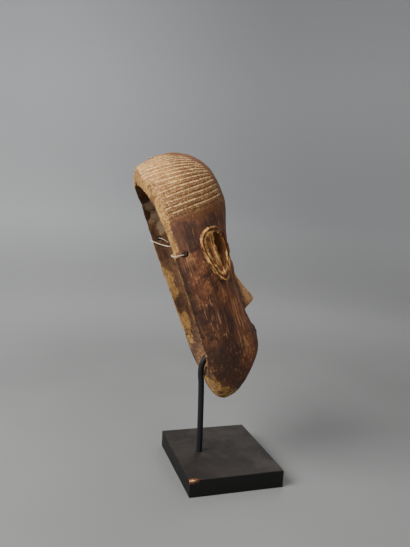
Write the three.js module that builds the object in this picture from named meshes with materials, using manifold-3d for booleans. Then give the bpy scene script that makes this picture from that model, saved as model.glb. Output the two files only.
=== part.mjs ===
// A carved wooden dance mask held on its stand: mask, tie thread, bent steel rod and plinth.
// Millimetres, +Z up. The origin is the centre of the plinth's underside and the face looks along -Y.
// The mask is drawn in its own frame, where x runs across the face, depth runs from the open back
// to the front of the face, and height runs up the mask along its flat back.
import * as THREE from "three";
import { mergeVertices } from "three/addons/utils/BufferGeometryUtils.js";
import Module from "manifold-3d";

const wasm = await Module();
wasm.setup();

// Plinth and rod
const PLINTH = { across: 130, along: 110, high: 20, bevel: 0.8 };
const ROD = { radius: 3.2, behindCentre: 25, socketDepth: 12, clearance: 0.4, sides: 12, steps: 24 };
const CHIP = { across: 8, along: 32, deep: 2.6, slopeAcross: 17, slopeAlong: 4.6 };
const ROD_ROUTE = [
  // behind the middle of the plinth, height above the ground
  [25.3, 40],
  [26, 75],
  [27, 105],
  [28.1, 115.5],
  [26.9, 127.5],
  [20.4, 138],
  [14, 149.5],
  [9.7, 167],
  [9.5, 190],
  [14, 216],
  [21.6, 240],
  [26.6, 262],
  [29.4, 284],
  [32.2, 299],
];

// Stance of the mask on the rod: the chin's back edge touches the rod at this height,
// the mask leans back, and it is turned a little towards its own right
const STANCE = { chinHeight: 107.2, chinAhead: 2.3, leanBack: 21.3, turn: -3 };

// Outer form. Three curves run from the tip of the chin to the crown:
// the front of the face, the back of the closed block, and the half width of the block.
const CHIN_TIP = -25;
const CROWN = 260.6;
const FRONT = [
  // depth, height
  [24, CHIN_TIP],
  [36, -20.5],
  [50, -8.5],
  [62.5, 4.5],
  [71.5, 18],
  [74.5, 33],
  [72, 50],
  [69, 68],
  [67.5, 98],
  [69, 124],
  [74.5, 158],
  [83, 187],
  [84.5, 203],
  [82.5, 220],
  [78, 234],
  [66, 249],
  [49, 258],
  [30, CROWN],
];
const BACK = [
  [24, CHIN_TIP],
  [11.5, -23],
  [4, -16.5],
  [1.2, -8],
  [0.6, 2],
  [-5, 25],
  [-12, 60],
  [-14, 130],
  [-13, 200],
  [-12, 232],
  [-7, 248],
  [0, 254],
  [9, 257.6],
  [30, CROWN],
];
const HALF_WIDTH = [
  [0, CHIN_TIP],
  [15, -22.9],
  [25, -17.5],
  [34, -8],
  [41, 4.5],
  [49.5, 25],
  [56.5, 48],
  [60.5, 72],
  [64, 100],
  [68, 130],
  [69, 158],
  [67.5, 184],
  [62, 206],
  [52.5, 224],
  [40, 239],
  [24, 252],
  [0, CROWN],
];
const WIDEST_AT = 12;
const WIDEST_FOLLOWS_BACK = 0.35;
const FRONT_ROUNDNESS = 2.15;
const BACK_ROUNDNESS = { ends: 2.3, middle: 6, from: 5, full: 45, easesAt: 226, roundAt: 250 };

// Back edge: the flat cut that opens the mask, a shallow curve seen from the side
const BACK_CUT = [
  [0, -60],
  [0.8, -10],
  [1.9, 60],
  [1.9, 200],
  [1, 216],
  [-0.8, 229],
  [-3.4, 240],
  [-5.6, 250],
  [-9, 300],
];
const SLAB = { halfWide: 100, thick: 120 };

// Hollow behind the face
const HOLLOW_FLOOR = 3.4;
const HOLLOW_TOP = 240;
const HOLLOW_WIDEST_AT = 8;
const HOLLOW_ROUNDNESS = 2.33;
const HOLLOW_FRONT = [
  [-8, HOLLOW_FLOOR],
  [1, 6.4],
  [7.6, 12.6],
  [20, 17.5],
  [34, 23],
  [48, 36],
  [54, 56],
  [54, 90],
  [54, 120],
  [60, 156],
  [68, 188],
  [67, 208],
  [60, 225],
  [45, 237],
  [26, HOLLOW_TOP],
];
const HOLLOW_BACK = [
  [-8, HOLLOW_FLOOR],
  [-14, 11],
  [-22, 40],
  [-25, 120],
  [-24, 200],
  [-18, 226],
  [-6, 236],
  [26, HOLLOW_TOP],
];
const HOLLOW_HALF_WIDTH = [
  [0, HOLLOW_FLOOR],
  [12.5, 8],
  [23, 14],
  [33, 22],
  [42, 32],
  [50, 46],
  [54, 70],
  [56, 100],
  [60, 128],
  [61.5, 156],
  [60.5, 178],
  [57, 196],
  [50.5, 208],
  [39, 224],
  [23, 235],
  [0, HOLLOW_TOP],
];

// Bevel of bare wood that runs round the upper back edge: its slope is the rise for each
// millimetre outwards, which starts steep at the sides and lies flatter over the top
const BEVEL = { from: 158, full: 165, easesAt: 190, flatAt: 220, sideSlope: 0.95, topSlope: 0.3 };
const BEVEL_CUTTER = {
  inside: 1.5,
  outside: 30,
  behind: 12,
  startBelow: 4,
  stopBelow: 4,
  proud: 0.15,
  steps: 12,
};

// Grooves of the hair
// They run level over the sides and, above the height of the fan, turn over the dome like
// the segments of a melon, round an axis that runs from the back to the front.
const HAIR = { first: 197, pitch: 5.5, halfWidth: 1.25, depth: 1.3, lift: 0.8, back: -3, frontGap: 13 };
const HAIR_FAN = { height: 220, radius: 46 };
const HAIR_STEPS = { rings: 6, taperOver: 1.5, search: 30, farthest: 80 };

// Face
const NOSE = [
  // height, rise above the face, half width
  [130, 0, 5],
  [118, 4.5, 6],
  [104, 7, 7.5],
  [90, 11.5, 11],
  [80, 15.5, 14],
  [74, 16.5, 15],
  [70, 14.5, 14.5],
  [66, 0, 13],
];
const EYE = {
  apart: 24,
  height: 106,
  halfLong: 10.5,
  halfHigh: 3,
  socketLong: 19,
  socketHigh: 12,
  socketDeep: 3.5,
};
const EYE_SLIT = { points: 12, from: 30, to: 110, sharpness: 1.3 };
const BROW = { height: 124, rise: 2, spread: 7, full: 28, reach: 46, droop: 0.004 };
const MOUTH = {
  height: 40,
  halfLong: 19,
  halfHigh: 1.8,
  deep: 3.4,
  lipHigh: 6.5,
  lipRise: 1.6,
  points: 12,
};
const RELIEF_FADE = { none: 0.3, full: 0.9 };

// Ears
const EAR = {
  tip: 118.5,
  long: 58.5,
  halfWide: 16,
  tipDepth: 47.5,
  topDepth: 47,
  centre: 0.6,
  topSquareness: 8,
};
const EAR_BACK_RIM = { x: 71, depth: 31 };
const EAR_FRONT_RIM = { x: 57.5, depth: 62 };
const EAR_RINGS = [
  // share of the way out from the middle, height over the rim's crest
  [0.9, -16],
  [1, -2.2],
  [0.945, 0],
  [0.86, -1.7],
  [0.775, -0.2],
  [0.7, -2],
];
const CONCHA = {
  share: 0.7,
  floorShare: 0.58,
  middleShare: 0.25,
  above: 4,
  deep: 9.5,
  shallow: 2.2,
  from: -8,
  to: 5,
};

// Tie holes and the thread through them
const TIE_HOLE = { radius: 2.7, sides: 10, long: 50, middle: 65 };
const TIE_HOLES = [
  // side, depth, height
  [-1, 15.1, 158.9],
  [1, 12.6, 167.2],
];
const THREAD = { radius: 0.55, sides: 6, straightOver: 9, ringsAtBends: 3 };
const THREAD_ROUTE = [
  // x, depth, height: the tail in the hollow, out of the far hole, round the far rim, across,
  // down inside the near rim, round it, into the near hole and its tail
  [53, 19, 160],
  [55, 15, 165],
  [60, 12.8, 167.2],
  [68.2, 12.4, 167.2],
  [70.2, 10.8, 167.5],
  [69.9, 7.6, 167.8],
  [66.9, 3.2, 168.1],
  [62.5, 0.8, 168.3],
  [40, 0.3, 168.8],
  [0, 0.3, 169.9],
  [-40, 0.6, 171.2],
  [-57, 1.6, 171.8],
  [-58.9, 4.9, 170.2],
  [-59.1, 5.8, 166.7],
  [-58.2, 2.6, 163.9],
  [-59.4, 0.8, 163.1],
  [-62.5, 0.4, 162.8],
  [-66.2, 0.4, 162.4],
  [-68.7, 0.9, 162],
  [-69.9, 2.8, 161.7],
  [-70.6, 7, 161],
  [-70.7, 11, 159.9],
  [-69.6, 13.7, 159.2],
  [-66.5, 14.9, 158.9],
  [-58, 15.6, 158.6],
  [-54.5, 18, 155.5],
];

// Fineness of the facets
const ROWS = 40;
const LEAST_ROW = 1.5;
const COLUMNS = 28;
const COLUMN_CROWDING = 0.32;
const BACK_COLUMNS = 8;
const BACK_CUT_STEPS = 14;
const HOLLOW_ROWS = 22;
const HOLLOW_COLUMNS = 14;
const EAR_SIDES = 20;

const COLOUR = { wood: 0x6d4527, black: 0x17130f, steel: 0x0d0d0e, thread: 0xcfc4a8 };

// Small helpers

const radians = THREE.MathUtils.degToRad;
const step = THREE.MathUtils.smoothstep;

/** A smooth curve through points of depth and height, read back as the depth at a height. */
function depthAt(points, samples = 400) {
  const curve = new THREE.SplineCurve(points.map(([depth, height]) => new THREE.Vector2(depth, height)));
  const line = curve.getPoints(samples);
  return (height) => {
    let i = 1;
    while (i < line.length - 1 && line[i].y < height) i += 1;
    const [a, b] = [line[i - 1], line[i]];
    const share = (height - a.y) / Math.max(b.y - a.y, 1e-9);
    return a.x + (b.x - a.x) * Math.min(1, Math.max(0, share));
  };
}

/** The value at a height in a table whose first column is the height, joined by straight lines. */
function between(table, height, column) {
  const rows = [...table].sort((a, b) => a[0] - b[0]);
  if (height <= rows[0][0]) return rows[0][column];
  const i = rows.findIndex((row) => row[0] >= height);
  if (i < 0) return rows[rows.length - 1][column];
  const [a, b] = [rows[i - 1], rows[i]];
  return THREE.MathUtils.lerp(a[column], b[column], (height - a[0]) / (b[0] - a[0]));
}

/** A closed geometry from rings of points with the same count, and a point at each end. */
function loft(rings, firstPole, lastPole) {
  const count = rings[0].length;
  const positions = [...firstPole, ...rings.flat(2), ...lastPole];
  const last = 1 + rings.length * count;
  const index = [];
  for (let j = 0; j < count; j += 1) {
    const k = (j + 1) % count;
    index.push(0, 1 + k, 1 + j);
    index.push(last, last - count + j, last - count + k);
    for (let i = 0; i < rings.length - 1; i += 1) {
      const low = 1 + i * count;
      const high = low + count;
      index.push(low + j, low + k, high + k, low + j, high + k, high + j);
    }
  }
  const geometry = new THREE.BufferGeometry();
  geometry.setAttribute("position", new THREE.Float32BufferAttribute(positions, 3));
  geometry.setIndex(index);
  return geometry;
}

/** The middle of a ring of points. */
function centreOf(ring) {
  return [0, 1, 2].map((k) => ring.reduce((sum, point) => sum + point[k], 0) / ring.length);
}

/** A manifold solid from a closed geometry; one that is inside out is turned. */
function solid(geometry) {
  const bare = geometry.clone();
  bare.deleteAttribute("normal");
  bare.deleteAttribute("uv");
  const merged = mergeVertices(bare, 1e-4);
  const points = merged.attributes.position.array;
  const index = Array.from(merged.index.array);
  const [a, b, c] = [new THREE.Vector3(), new THREE.Vector3(), new THREE.Vector3()];
  let volume = 0;
  for (let i = 0; i < index.length; i += 3) {
    a.fromArray(points, 3 * index[i]);
    b.fromArray(points, 3 * index[i + 1]);
    c.fromArray(points, 3 * index[i + 2]);
    volume += a.dot(b.cross(c));
  }
  if (volume < 0) index.reverse();
  const mesh = new wasm.Mesh({
    numProp: 3,
    vertProperties: new Float32Array(points),
    triVerts: new Uint32Array(index),
  });
  return new wasm.Manifold(mesh);
}

/** The geometry of a manifold solid, with flat shaded facets. */
function geometryOf(body) {
  const mesh = body.getMesh();
  const geometry = new THREE.BufferGeometry();
  geometry.setAttribute("position", new THREE.BufferAttribute(new Float32Array(mesh.vertProperties), 3));
  geometry.setIndex(new THREE.BufferAttribute(new Uint32Array(mesh.triVerts), 1));
  geometry.computeVertexNormals();
  return geometry;
}

/** A point of the mask's own frame as x, y, z before the mask is set on the rod. */
function inMask(x, depth, height) {
  return [x, -depth, height];
}

// Outer form of the mask

const front = depthAt(FRONT);
const back = depthAt(BACK);
const halfWidth = depthAt(HALF_WIDTH);
const backCut = depthAt(BACK_CUT);

/** How far the face stands out of the plain front at a point. */
function relief(x, height) {
  const noseHalf = between(NOSE, height, 2);
  const across = Math.min(1, Math.abs(x) / noseHalf);
  let out = between(NOSE, height, 1) * 0.5 * (1 + Math.cos(Math.PI * across));
  const browAt = BROW.height - BROW.droop * x * x;
  const browEnd = 1 - step(Math.abs(x), BROW.full, BROW.reach);
  out += BROW.rise * browEnd * Math.exp(-(((height - browAt) / BROW.spread) ** 2));
  const eyeX = (Math.abs(x) - EYE.apart) / EYE.socketLong;
  const eyeZ = (height - EYE.height) / EYE.socketHigh;
  out -= EYE.socketDeep * Math.max(0, 1 - eyeX * eyeX - eyeZ * eyeZ);
  const mouthX = x / (MOUTH.halfLong + MOUTH.halfHigh);
  const mouthZ = (height - MOUTH.height) / MOUTH.lipHigh;
  out += MOUTH.lipRise * Math.max(0, 1 - mouthX * mouthX - mouthZ * mouthZ);
  return out;
}

/** The depth at which a level of the block is widest. */
function middleDepth(ahead, behind) {
  return Math.min(WIDEST_AT + WIDEST_FOLLOWS_BACK * Math.max(0, behind), (ahead + behind) / 2);
}

/** The back of the block is round at the chin and the crown and square between them. */
function backRoundness(height) {
  const { ends, middle, from, full, easesAt, roundAt } = BACK_ROUNDNESS;
  const square = step(height, from, full) * (1 - step(height, easesAt, roundAt));
  return THREE.MathUtils.lerp(ends, middle, square);
}

/** One level ring of the closed block, with the face carved in its front. */
function blockRing(height) {
  const [wide, ahead, behind] = [halfWidth(height), front(height), back(height)];
  const middle = middleDepth(ahead, behind);
  const squareness = backRoundness(height);
  const ring = [];
  for (let j = 0; j <= COLUMNS; j += 1) {
    const u = (2 * j) / COLUMNS - 1;
    const angle = (Math.PI / 2) * THREE.MathUtils.lerp(u, u ** 3, COLUMN_CROWDING);
    const x = wide * Math.sign(u) * Math.abs(Math.sin(angle)) ** (2 / FRONT_ROUNDNESS);
    const out = Math.max(0, Math.cos(angle)) ** (2 / FRONT_ROUNDNESS);
    const depth = middle + (ahead - middle) * out;
    const carved = relief(x, height) * step(out, RELIEF_FADE.none, RELIEF_FADE.full);
    ring.push(inMask(x, depth + carved, height));
  }
  for (let j = 1; j < BACK_COLUMNS; j += 1) {
    const angle = (Math.PI * j) / BACK_COLUMNS;
    const x = wide * Math.sign(Math.cos(angle)) * Math.abs(Math.cos(angle)) ** (2 / squareness);
    const inwards = Math.sin(angle) ** (2 / squareness);
    ring.push(inMask(x, middle + (behind - middle) * inwards, height));
  }
  return ring;
}

/** The levels of the rings: close together at both poles, and some set by the nose and the mouth. */
function levels() {
  const underNose = NOSE.slice(-2).map(([height]) => height);
  const lips = [-1, 0, 1].map((k) => MOUTH.height + k * MOUTH.lipHigh);
  const list = [...underNose, ...lips];
  for (let i = 1; i < ROWS; i += 1) {
    const height = THREE.MathUtils.lerp(CHIN_TIP, CROWN, 0.5 - 0.5 * Math.cos((Math.PI * i) / ROWS));
    if (list.every((other) => Math.abs(other - height) > LEAST_ROW)) list.push(height);
  }
  return list.sort((a, b) => a - b);
}

function block() {
  const rings = levels().map(blockRing);
  return solid(loft(rings, inMask(0, front(CHIN_TIP), CHIN_TIP), inMask(0, front(CROWN), CROWN)));
}

/** The depth of the plain front of the block at a place across it. */
function blockDepth(x, height) {
  const [wide, ahead, behind] = [halfWidth(height), front(height), back(height)];
  const middle = middleDepth(ahead, behind);
  const inwards = Math.min(1, Math.abs(x) / wide);
  return middle + (ahead - middle) * (1 - inwards ** FRONT_ROUNDNESS) ** (1 / FRONT_ROUNDNESS);
}

/** Half the width of the block at a depth and height. */
function widthAt(depth, height) {
  const [wide, ahead, behind] = [halfWidth(height), front(height), back(height)];
  const middle = middleDepth(ahead, behind);
  const inFront = depth > middle;
  const share = (depth - middle) / ((inFront ? ahead : behind) - middle);
  const power = inFront ? FRONT_ROUNDNESS : backRoundness(height);
  return share >= 1 ? 0 : wide * (1 - share ** power) ** (1 / power);
}

/** The point of one groove's line on the near side of the dome at a depth: x and height. */
function hairPoint(line, depth) {
  const turn = Math.max(0, line - HAIR_FAN.height) / HAIR_FAN.radius;
  if (turn === 0) return [widthAt(depth, line), line];
  let [low, high] = [0, HAIR_STEPS.farthest];
  for (let i = 0; i < HAIR_STEPS.search; i += 1) {
    const middle = (low + high) / 2;
    const height = HAIR_FAN.height + middle * Math.sin(turn);
    const outside = height >= CROWN || middle * Math.cos(turn) > widthAt(depth, height);
    if (outside) high = middle;
    else low = middle;
  }
  return [low * Math.cos(turn), HAIR_FAN.height + low * Math.sin(turn)];
}

/** The depths between which one groove runs. */
function hairReach(line) {
  let [from, to] = [HAIR.back, HAIR_STEPS.farthest];
  while (to > front(hairPoint(line, to)[1]) - HAIR.frontGap) to -= 0.5;
  while (hairPoint(line, from)[0] < 0.5 && from < to) from += 0.5;
  return [from, to];
}

/** One groove of the hair as a three-cornered bar that follows the dome and runs out in front. */
function hairCutter(line, side) {
  const [from, to] = hairReach(line);
  const at = (depth) => {
    const [x, height] = hairPoint(line, depth);
    return new THREE.Vector3(...inMask(side * x, depth, height));
  };
  const wide = HAIR.halfWidth * ((HAIR.depth + HAIR.lift) / HAIR.depth);
  const rings = [];
  for (let i = 0; i <= HAIR_STEPS.rings; i += 1) {
    const depth = THREE.MathUtils.lerp(from, to, i / HAIR_STEPS.rings);
    const point = at(depth);
    const along = at(depth + 0.5).sub(at(depth - 0.5)).normalize();
    const above = hairPoint(line + 0.5, depth);
    const below = hairPoint(line - 0.5, depth);
    const across = new THREE.Vector3(side * (above[0] - below[0]), 0, above[1] - below[1]).normalize();
    const outward = across.clone().cross(along).normalize();
    if (outward.dot(new THREE.Vector3(point.x, 0, point.z - HAIR_FAN.height)) < 0) outward.negate();
    const deep = HAIR.depth * Math.min(1, (HAIR_STEPS.rings - i) / HAIR_STEPS.taperOver);
    rings.push([
      point.clone().addScaledVector(outward, -deep).toArray(),
      point.clone().addScaledVector(outward, HAIR.lift).addScaledVector(across, wide).toArray(),
      point.clone().addScaledVector(outward, HAIR.lift).addScaledVector(across, -wide).toArray(),
    ]);
  }
  return solid(loft(rings, centreOf(rings[0]), centreOf(rings[rings.length - 1])));
}

/** Every groove of the hair, from the lowest up to the middle of the crown. */
function hairCutters() {
  const last = HAIR_FAN.height + (HAIR_FAN.radius * Math.PI) / 2 - HAIR.pitch / 2;
  const cutters = [];
  for (let line = HAIR.first; line < last; line += HAIR.pitch) {
    cutters.push(hairCutter(line, -1), hairCutter(line, 1));
  }
  return cutters;
}

/** A closed outline of x and height, carried from one depth to another. */
function throughDepths(outline, from, to) {
  const bar = new THREE.ExtrudeGeometry(outline, { depth: to - from, bevelEnabled: false });
  bar.rotateX(Math.PI / 2);
  bar.translate(0, -from, 0);
  return bar;
}

/** The slab that is sawn off behind the back edge. */
function behindBackEdge() {
  const [low, high] = [BACK_CUT[0][1], BACK_CUT[BACK_CUT.length - 1][1]];
  const rings = [-1, 1].map((side) => {
    const ring = [];
    for (let i = 0; i <= BACK_CUT_STEPS; i += 1) {
      const height = THREE.MathUtils.lerp(low, high, i / BACK_CUT_STEPS);
      ring.push(inMask(side * SLAB.halfWide, backCut(height), height));
    }
    for (const end of [high, low]) ring.push(inMask(side * SLAB.halfWide, -SLAB.thick, end));
    return ring;
  });
  return solid(loft(rings, centreOf(rings[0]), centreOf(rings[1])));
}

// Hollow

const hollowFront = depthAt(HOLLOW_FRONT);
const hollowBack = depthAt(HOLLOW_BACK);
const hollowHalfWidth = depthAt(HOLLOW_HALF_WIDTH);

/** The hollow as a closed form that stands out behind the back edge. */
function hollow() {
  const power = 2 / HOLLOW_ROUNDNESS;
  const rings = [];
  for (let i = 1; i < HOLLOW_ROWS; i += 1) {
    const up = 0.5 - 0.5 * Math.cos((Math.PI * i) / HOLLOW_ROWS);
    const height = THREE.MathUtils.lerp(HOLLOW_FLOOR, HOLLOW_TOP, up);
    const [wide, ahead, behind] = [hollowHalfWidth(height), hollowFront(height), hollowBack(height)];
    const middle = Math.min(HOLLOW_WIDEST_AT, (ahead + behind) / 2);
    const ring = [];
    for (let j = 0; j < HOLLOW_COLUMNS + BACK_COLUMNS; j += 1) {
      const inFront = j <= HOLLOW_COLUMNS;
      const share = inFront ? j / HOLLOW_COLUMNS : (j - HOLLOW_COLUMNS) / BACK_COLUMNS;
      const angle = Math.PI * (inFront ? share - 0.5 : share + 0.5);
      const x = wide * Math.sign(Math.sin(angle)) * Math.abs(Math.sin(angle)) ** power;
      const out = Math.abs(Math.cos(angle)) ** power;
      ring.push(inMask(x, middle + ((inFront ? ahead : behind) - middle) * out, height));
    }
    rings.push(ring);
  }
  const [floor, top] = [HOLLOW_FLOOR, HOLLOW_TOP].map((height) => inMask(0, hollowFront(height), height));
  return solid(loft(rings, floor, top));
}

/** The outline along which the bevel runs: up one side of the hollow, over its top and down the other. */
function bevelPath() {
  const low = BEVEL.from - BEVEL_CUTTER.startBelow;
  const high = HOLLOW_TOP - BEVEL_CUTTER.stopBelow;
  const path = [];
  for (let i = 0; i <= BEVEL_CUTTER.steps; i += 1) {
    const height = THREE.MathUtils.lerp(low, high, Math.sin((Math.PI / 2) * (i / BEVEL_CUTTER.steps)));
    path.push([hollowHalfWidth(height), height]);
  }
  return [...path, ...path.slice().reverse().map(([x, height]) => [-x, height])];
}

/** The wedge that bevels the upper back edge. */
function bevelCutter() {
  const outline = bevelPath();
  const { inside, outside, behind, proud } = BEVEL_CUTTER;
  const rings = outline.map(([x, height], i) => {
    const before = outline[Math.max(0, i - 1)];
    const after = outline[Math.min(outline.length - 1, i + 1)];
    const along = new THREE.Vector2(after[0] - before[0], after[1] - before[1]).normalize();
    const outward = new THREE.Vector2(along.y, -along.x);
    const eased = step(height, BEVEL.easesAt, BEVEL.flatAt);
    const steepness = THREE.MathUtils.lerp(BEVEL.sideSlope, BEVEL.topSlope, eased);
    const slope = steepness * step(height, BEVEL.from, BEVEL.full);
    const edge = backCut(height) - proud;
    const corners = [
      [-inside, edge - inside * slope],
      [outside, edge + outside * slope],
      [outside, edge - behind],
      [-inside, edge - behind],
    ];
    return corners.map(([away, depth]) => inMask(x + outward.x * away, depth, height + outward.y * away));
  });
  return solid(loft(rings, centreOf(rings[0]), centreOf(rings[rings.length - 1])));
}

// Ears

/** The ear's outline: broad and round at the top, narrow below. Returns depth and height. */
function earOutline(share) {
  const turn = 2 * Math.PI * share;
  const up = 0.5 - 0.5 * Math.cos(turn);
  const half = EAR.halfWide * Math.sqrt(1 - (1 - up) ** 2) * Math.sqrt(1 - up ** EAR.topSquareness);
  const middle = THREE.MathUtils.lerp(EAR.tipDepth, EAR.topDepth, up);
  return [middle + Math.sign(Math.sin(turn)) * half, EAR.tip + EAR.long * up];
}

const earMiddle = [
  THREE.MathUtils.lerp(EAR.tipDepth, EAR.topDepth, EAR.centre),
  EAR.tip + EAR.long * EAR.centre,
];
const earTangent = new THREE.Vector2(
  EAR_FRONT_RIM.x - EAR_BACK_RIM.x,
  EAR_FRONT_RIM.depth - EAR_BACK_RIM.depth,
).normalize();

/** A point of the ear at a share of the way out to its outline, raised over its plane. */
function earPoint(side, depth, height, raise) {
  const ahead = (depth - EAR_BACK_RIM.depth) / earTangent.y;
  const x = EAR_BACK_RIM.x + earTangent.x * ahead + earTangent.y * raise;
  return inMask(side * x, depth - earTangent.x * raise, height);
}

function earRing(side, share, raise) {
  const ring = [];
  for (let j = 0; j < EAR_SIDES; j += 1) {
    const [depth, height] = earOutline(j / EAR_SIDES);
    const [d, h] = [
      earMiddle[0] + share * (depth - earMiddle[0]),
      earMiddle[1] + share * (height - earMiddle[1]),
    ];
    ring.push(earPoint(side, d, h, typeof raise === "function" ? raise(d) : raise));
  }
  return ring;
}

/** The ear as a raised leaf with a double rim, rooted inside the head. */
function ear(side) {
  const rings = EAR_RINGS.map(([share, raise]) => earRing(side, share, raise));
  const root = earPoint(side, earMiddle[0], earMiddle[1], EAR_RINGS[0][1]);
  const face = earPoint(side, earMiddle[0], earMiddle[1], EAR_RINGS[EAR_RINGS.length - 1][1]);
  return solid(loft(rings, root, face));
}

/** The hollow of the ear: it slopes down from the back rim to its deepest place at the front. */
function concha(side) {
  const floor = (depth) => {
    const ahead = depth - earMiddle[0];
    return -THREE.MathUtils.lerp(CONCHA.shallow, CONCHA.deep, step(ahead, CONCHA.from, CONCHA.to));
  };
  const rings = [
    earRing(side, CONCHA.share, CONCHA.above),
    earRing(side, CONCHA.floorShare, floor),
    earRing(side, CONCHA.middleShare, floor),
  ];
  const top = earPoint(side, earMiddle[0], earMiddle[1], CONCHA.above);
  const bottom = earPoint(side, earMiddle[0], earMiddle[1], floor(earMiddle[0]));
  return solid(loft(rings, top, bottom));
}

// Openings through the wall

/** A round bar through one side of the mask at its tie hole. */
function tieHole([side, depth, height]) {
  const bar = new THREE.CylinderGeometry(TIE_HOLE.radius, TIE_HOLE.radius, TIE_HOLE.long, TIE_HOLE.sides);
  bar.rotateZ(Math.PI / 2);
  bar.translate(...inMask(side * TIE_HOLE.middle, depth, height));
  return solid(bar);
}

/** An almond outline with pointed ends. */
function almond(x, height, halfLong, halfHigh, points, sharpness) {
  const outline = new THREE.Shape();
  for (let i = 0; i < points; i += 1) {
    const turn = (2 * Math.PI * i) / points;
    const up = Math.sign(Math.sin(turn)) * Math.abs(Math.sin(turn)) ** sharpness;
    outline[i === 0 ? "moveTo" : "lineTo"](x + halfLong * Math.cos(turn), height + halfHigh * up);
  }
  outline.closePath();
  return outline;
}

/** A narrow almond slit right through the face, under each brow. */
function eyeSlit(side) {
  const { points, from, to, sharpness } = EYE_SLIT;
  const outline = almond(side * EYE.apart, EYE.height, EYE.halfLong, EYE.halfHigh, points, sharpness);
  return solid(throughDepths(outline, from, to));
}

/** The cut between the lips, as deep at its ends as in its middle. */
function mouthCutter() {
  const { height, halfLong, halfHigh, deep, points } = MOUTH;
  const outline = almond(0, height, halfLong, halfHigh, points, EYE_SLIT.sharpness);
  const bar = throughDepths(outline, front(height) + MOUTH.lipRise - deep, EYE_SLIT.to);
  const place = bar.attributes.position;
  const floor = -front(height) - MOUTH.lipRise + deep;
  for (let i = 0; i < place.count; i += 1) {
    const x = place.getX(i);
    const away = front(height) - blockDepth(x, height);
    if (Math.abs(place.getY(i) - floor) < 0.01) place.setY(i, floor + away);
  }
  return solid(bar);
}

function maskSolid() {
  let body = block();
  for (const cutter of hairCutters()) body = body.subtract(cutter);
  for (const side of [-1, 1]) body = body.add(ear(side));
  body = body.subtract(behindBackEdge()).subtract(hollow()).subtract(bevelCutter());
  for (const side of [-1, 1]) body = body.subtract(concha(side)).subtract(eyeSlit(side));
  body = body.subtract(mouthCutter());
  for (const hole of TIE_HOLES) body = body.subtract(tieHole(hole));
  return body;
}

// Thread, rod and plinth

/** A round bar along a smooth curve through points, with flat ends. */
function barAlong(points, radius, sides, steps) {
  const ring = new THREE.Shape();
  for (let i = 0; i < sides; i += 1) {
    const turn = (2 * Math.PI * i) / sides;
    ring[i === 0 ? "moveTo" : "lineTo"](radius * Math.cos(turn), radius * Math.sin(turn));
  }
  ring.closePath();
  const path = new THREE.CatmullRomCurve3(points, false, "centripetal");
  return new THREE.ExtrudeGeometry(ring, { steps, extrudePath: path, bevelEnabled: false });
}

/** The thread, with rings close together at its bends and none between on its straight stretches. */
function thread() {
  const points = THREAD_ROUTE.map((p) => new THREE.Vector3(...inMask(...p)));
  const path = new THREE.CatmullRomCurve3(points, false, "centripetal");
  const stretches = points.length - 1;
  const places = [0];
  for (let i = 0; i < stretches; i += 1) {
    const straight = points[i].distanceTo(points[i + 1]) > THREAD.straightOver;
    const pieces = straight ? 1 : THREAD.ringsAtBends;
    for (let k = 1; k <= pieces; k += 1) places.push((i + k / pieces) / stretches);
  }
  const across = new THREE.Vector3(0, 0, 1);
  const rings = places.map((place) => {
    const centre = path.getPoint(place);
    const along = path.getTangent(place);
    across.addScaledVector(along, -across.dot(along)).normalize();
    const other = along.clone().cross(across);
    const ring = [];
    for (let j = 0; j < THREAD.sides; j += 1) {
      const turn = (2 * Math.PI * j) / THREAD.sides;
      const point = centre.clone().addScaledVector(across, THREAD.radius * Math.cos(turn));
      ring.push(point.addScaledVector(other, THREAD.radius * Math.sin(turn)).toArray());
    }
    return ring;
  });
  return loft(rings, points[0].toArray(), points[stretches].toArray());
}

/** The rod: upright from its socket, forward over the chin's edge, then up inside the face. */
function rod() {
  const foot = PLINTH.high - ROD.socketDepth + ROD.clearance;
  const points = ROD_ROUTE.map(([behind, z]) => new THREE.Vector3(0, behind, z));
  points.unshift(new THREE.Vector3(0, ROD.behindCentre, foot));
  return barAlong(points, ROD.radius, ROD.sides, ROD.steps);
}

/** The plinth: a plain block with softened edges, the rod's socket, and one chipped corner. */
function plinth() {
  const [halfX, halfY] = [PLINTH.across / 2, PLINTH.along / 2];
  const outline = new THREE.Shape();
  outline.moveTo(-halfX, -halfY);
  outline.lineTo(halfX, -halfY);
  outline.lineTo(halfX, halfY);
  outline.lineTo(-halfX, halfY);
  outline.closePath();
  const block = new THREE.ExtrudeGeometry(outline, {
    depth: PLINTH.high - 2 * PLINTH.bevel,
    bevelThickness: PLINTH.bevel,
    bevelSize: PLINTH.bevel,
    bevelOffset: -PLINTH.bevel,
    bevelSegments: 1,
  });
  block.translate(0, 0, PLINTH.bevel);
  const bore = new THREE.CylinderGeometry(
    ROD.radius + ROD.clearance,
    ROD.radius + ROD.clearance,
    2 * ROD.socketDepth,
    ROD.sides,
  );
  bore.rotateX(Math.PI / 2);
  bore.translate(0, ROD.behindCentre, PLINTH.high);
  const chip = new THREE.BoxGeometry(CHIP.across, CHIP.along, CHIP.deep);
  chip.rotateX(-radians(CHIP.slopeAlong));
  chip.rotateY(-radians(CHIP.slopeAcross));
  chip.translate(-halfX, halfY, PLINTH.high);
  return solid(block).subtract(solid(bore)).subtract(solid(chip));
}

// Pieces

const group = new THREE.Group();

function addPiece(name, geometry, parent, looks) {
  const mesh = new THREE.Mesh(geometry, new THREE.MeshStandardMaterial(looks));
  mesh.name = name;
  parent.add(mesh);
  return mesh;
}

const turned = new THREE.Group();
turned.position.set(0, ROD.behindCentre, 0);
turned.rotation.z = radians(STANCE.turn);
const leaning = new THREE.Group();
leaning.position.set(0, -STANCE.chinAhead, STANCE.chinHeight);
leaning.rotation.x = -radians(STANCE.leanBack);
turned.add(leaning);
group.add(turned);

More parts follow.
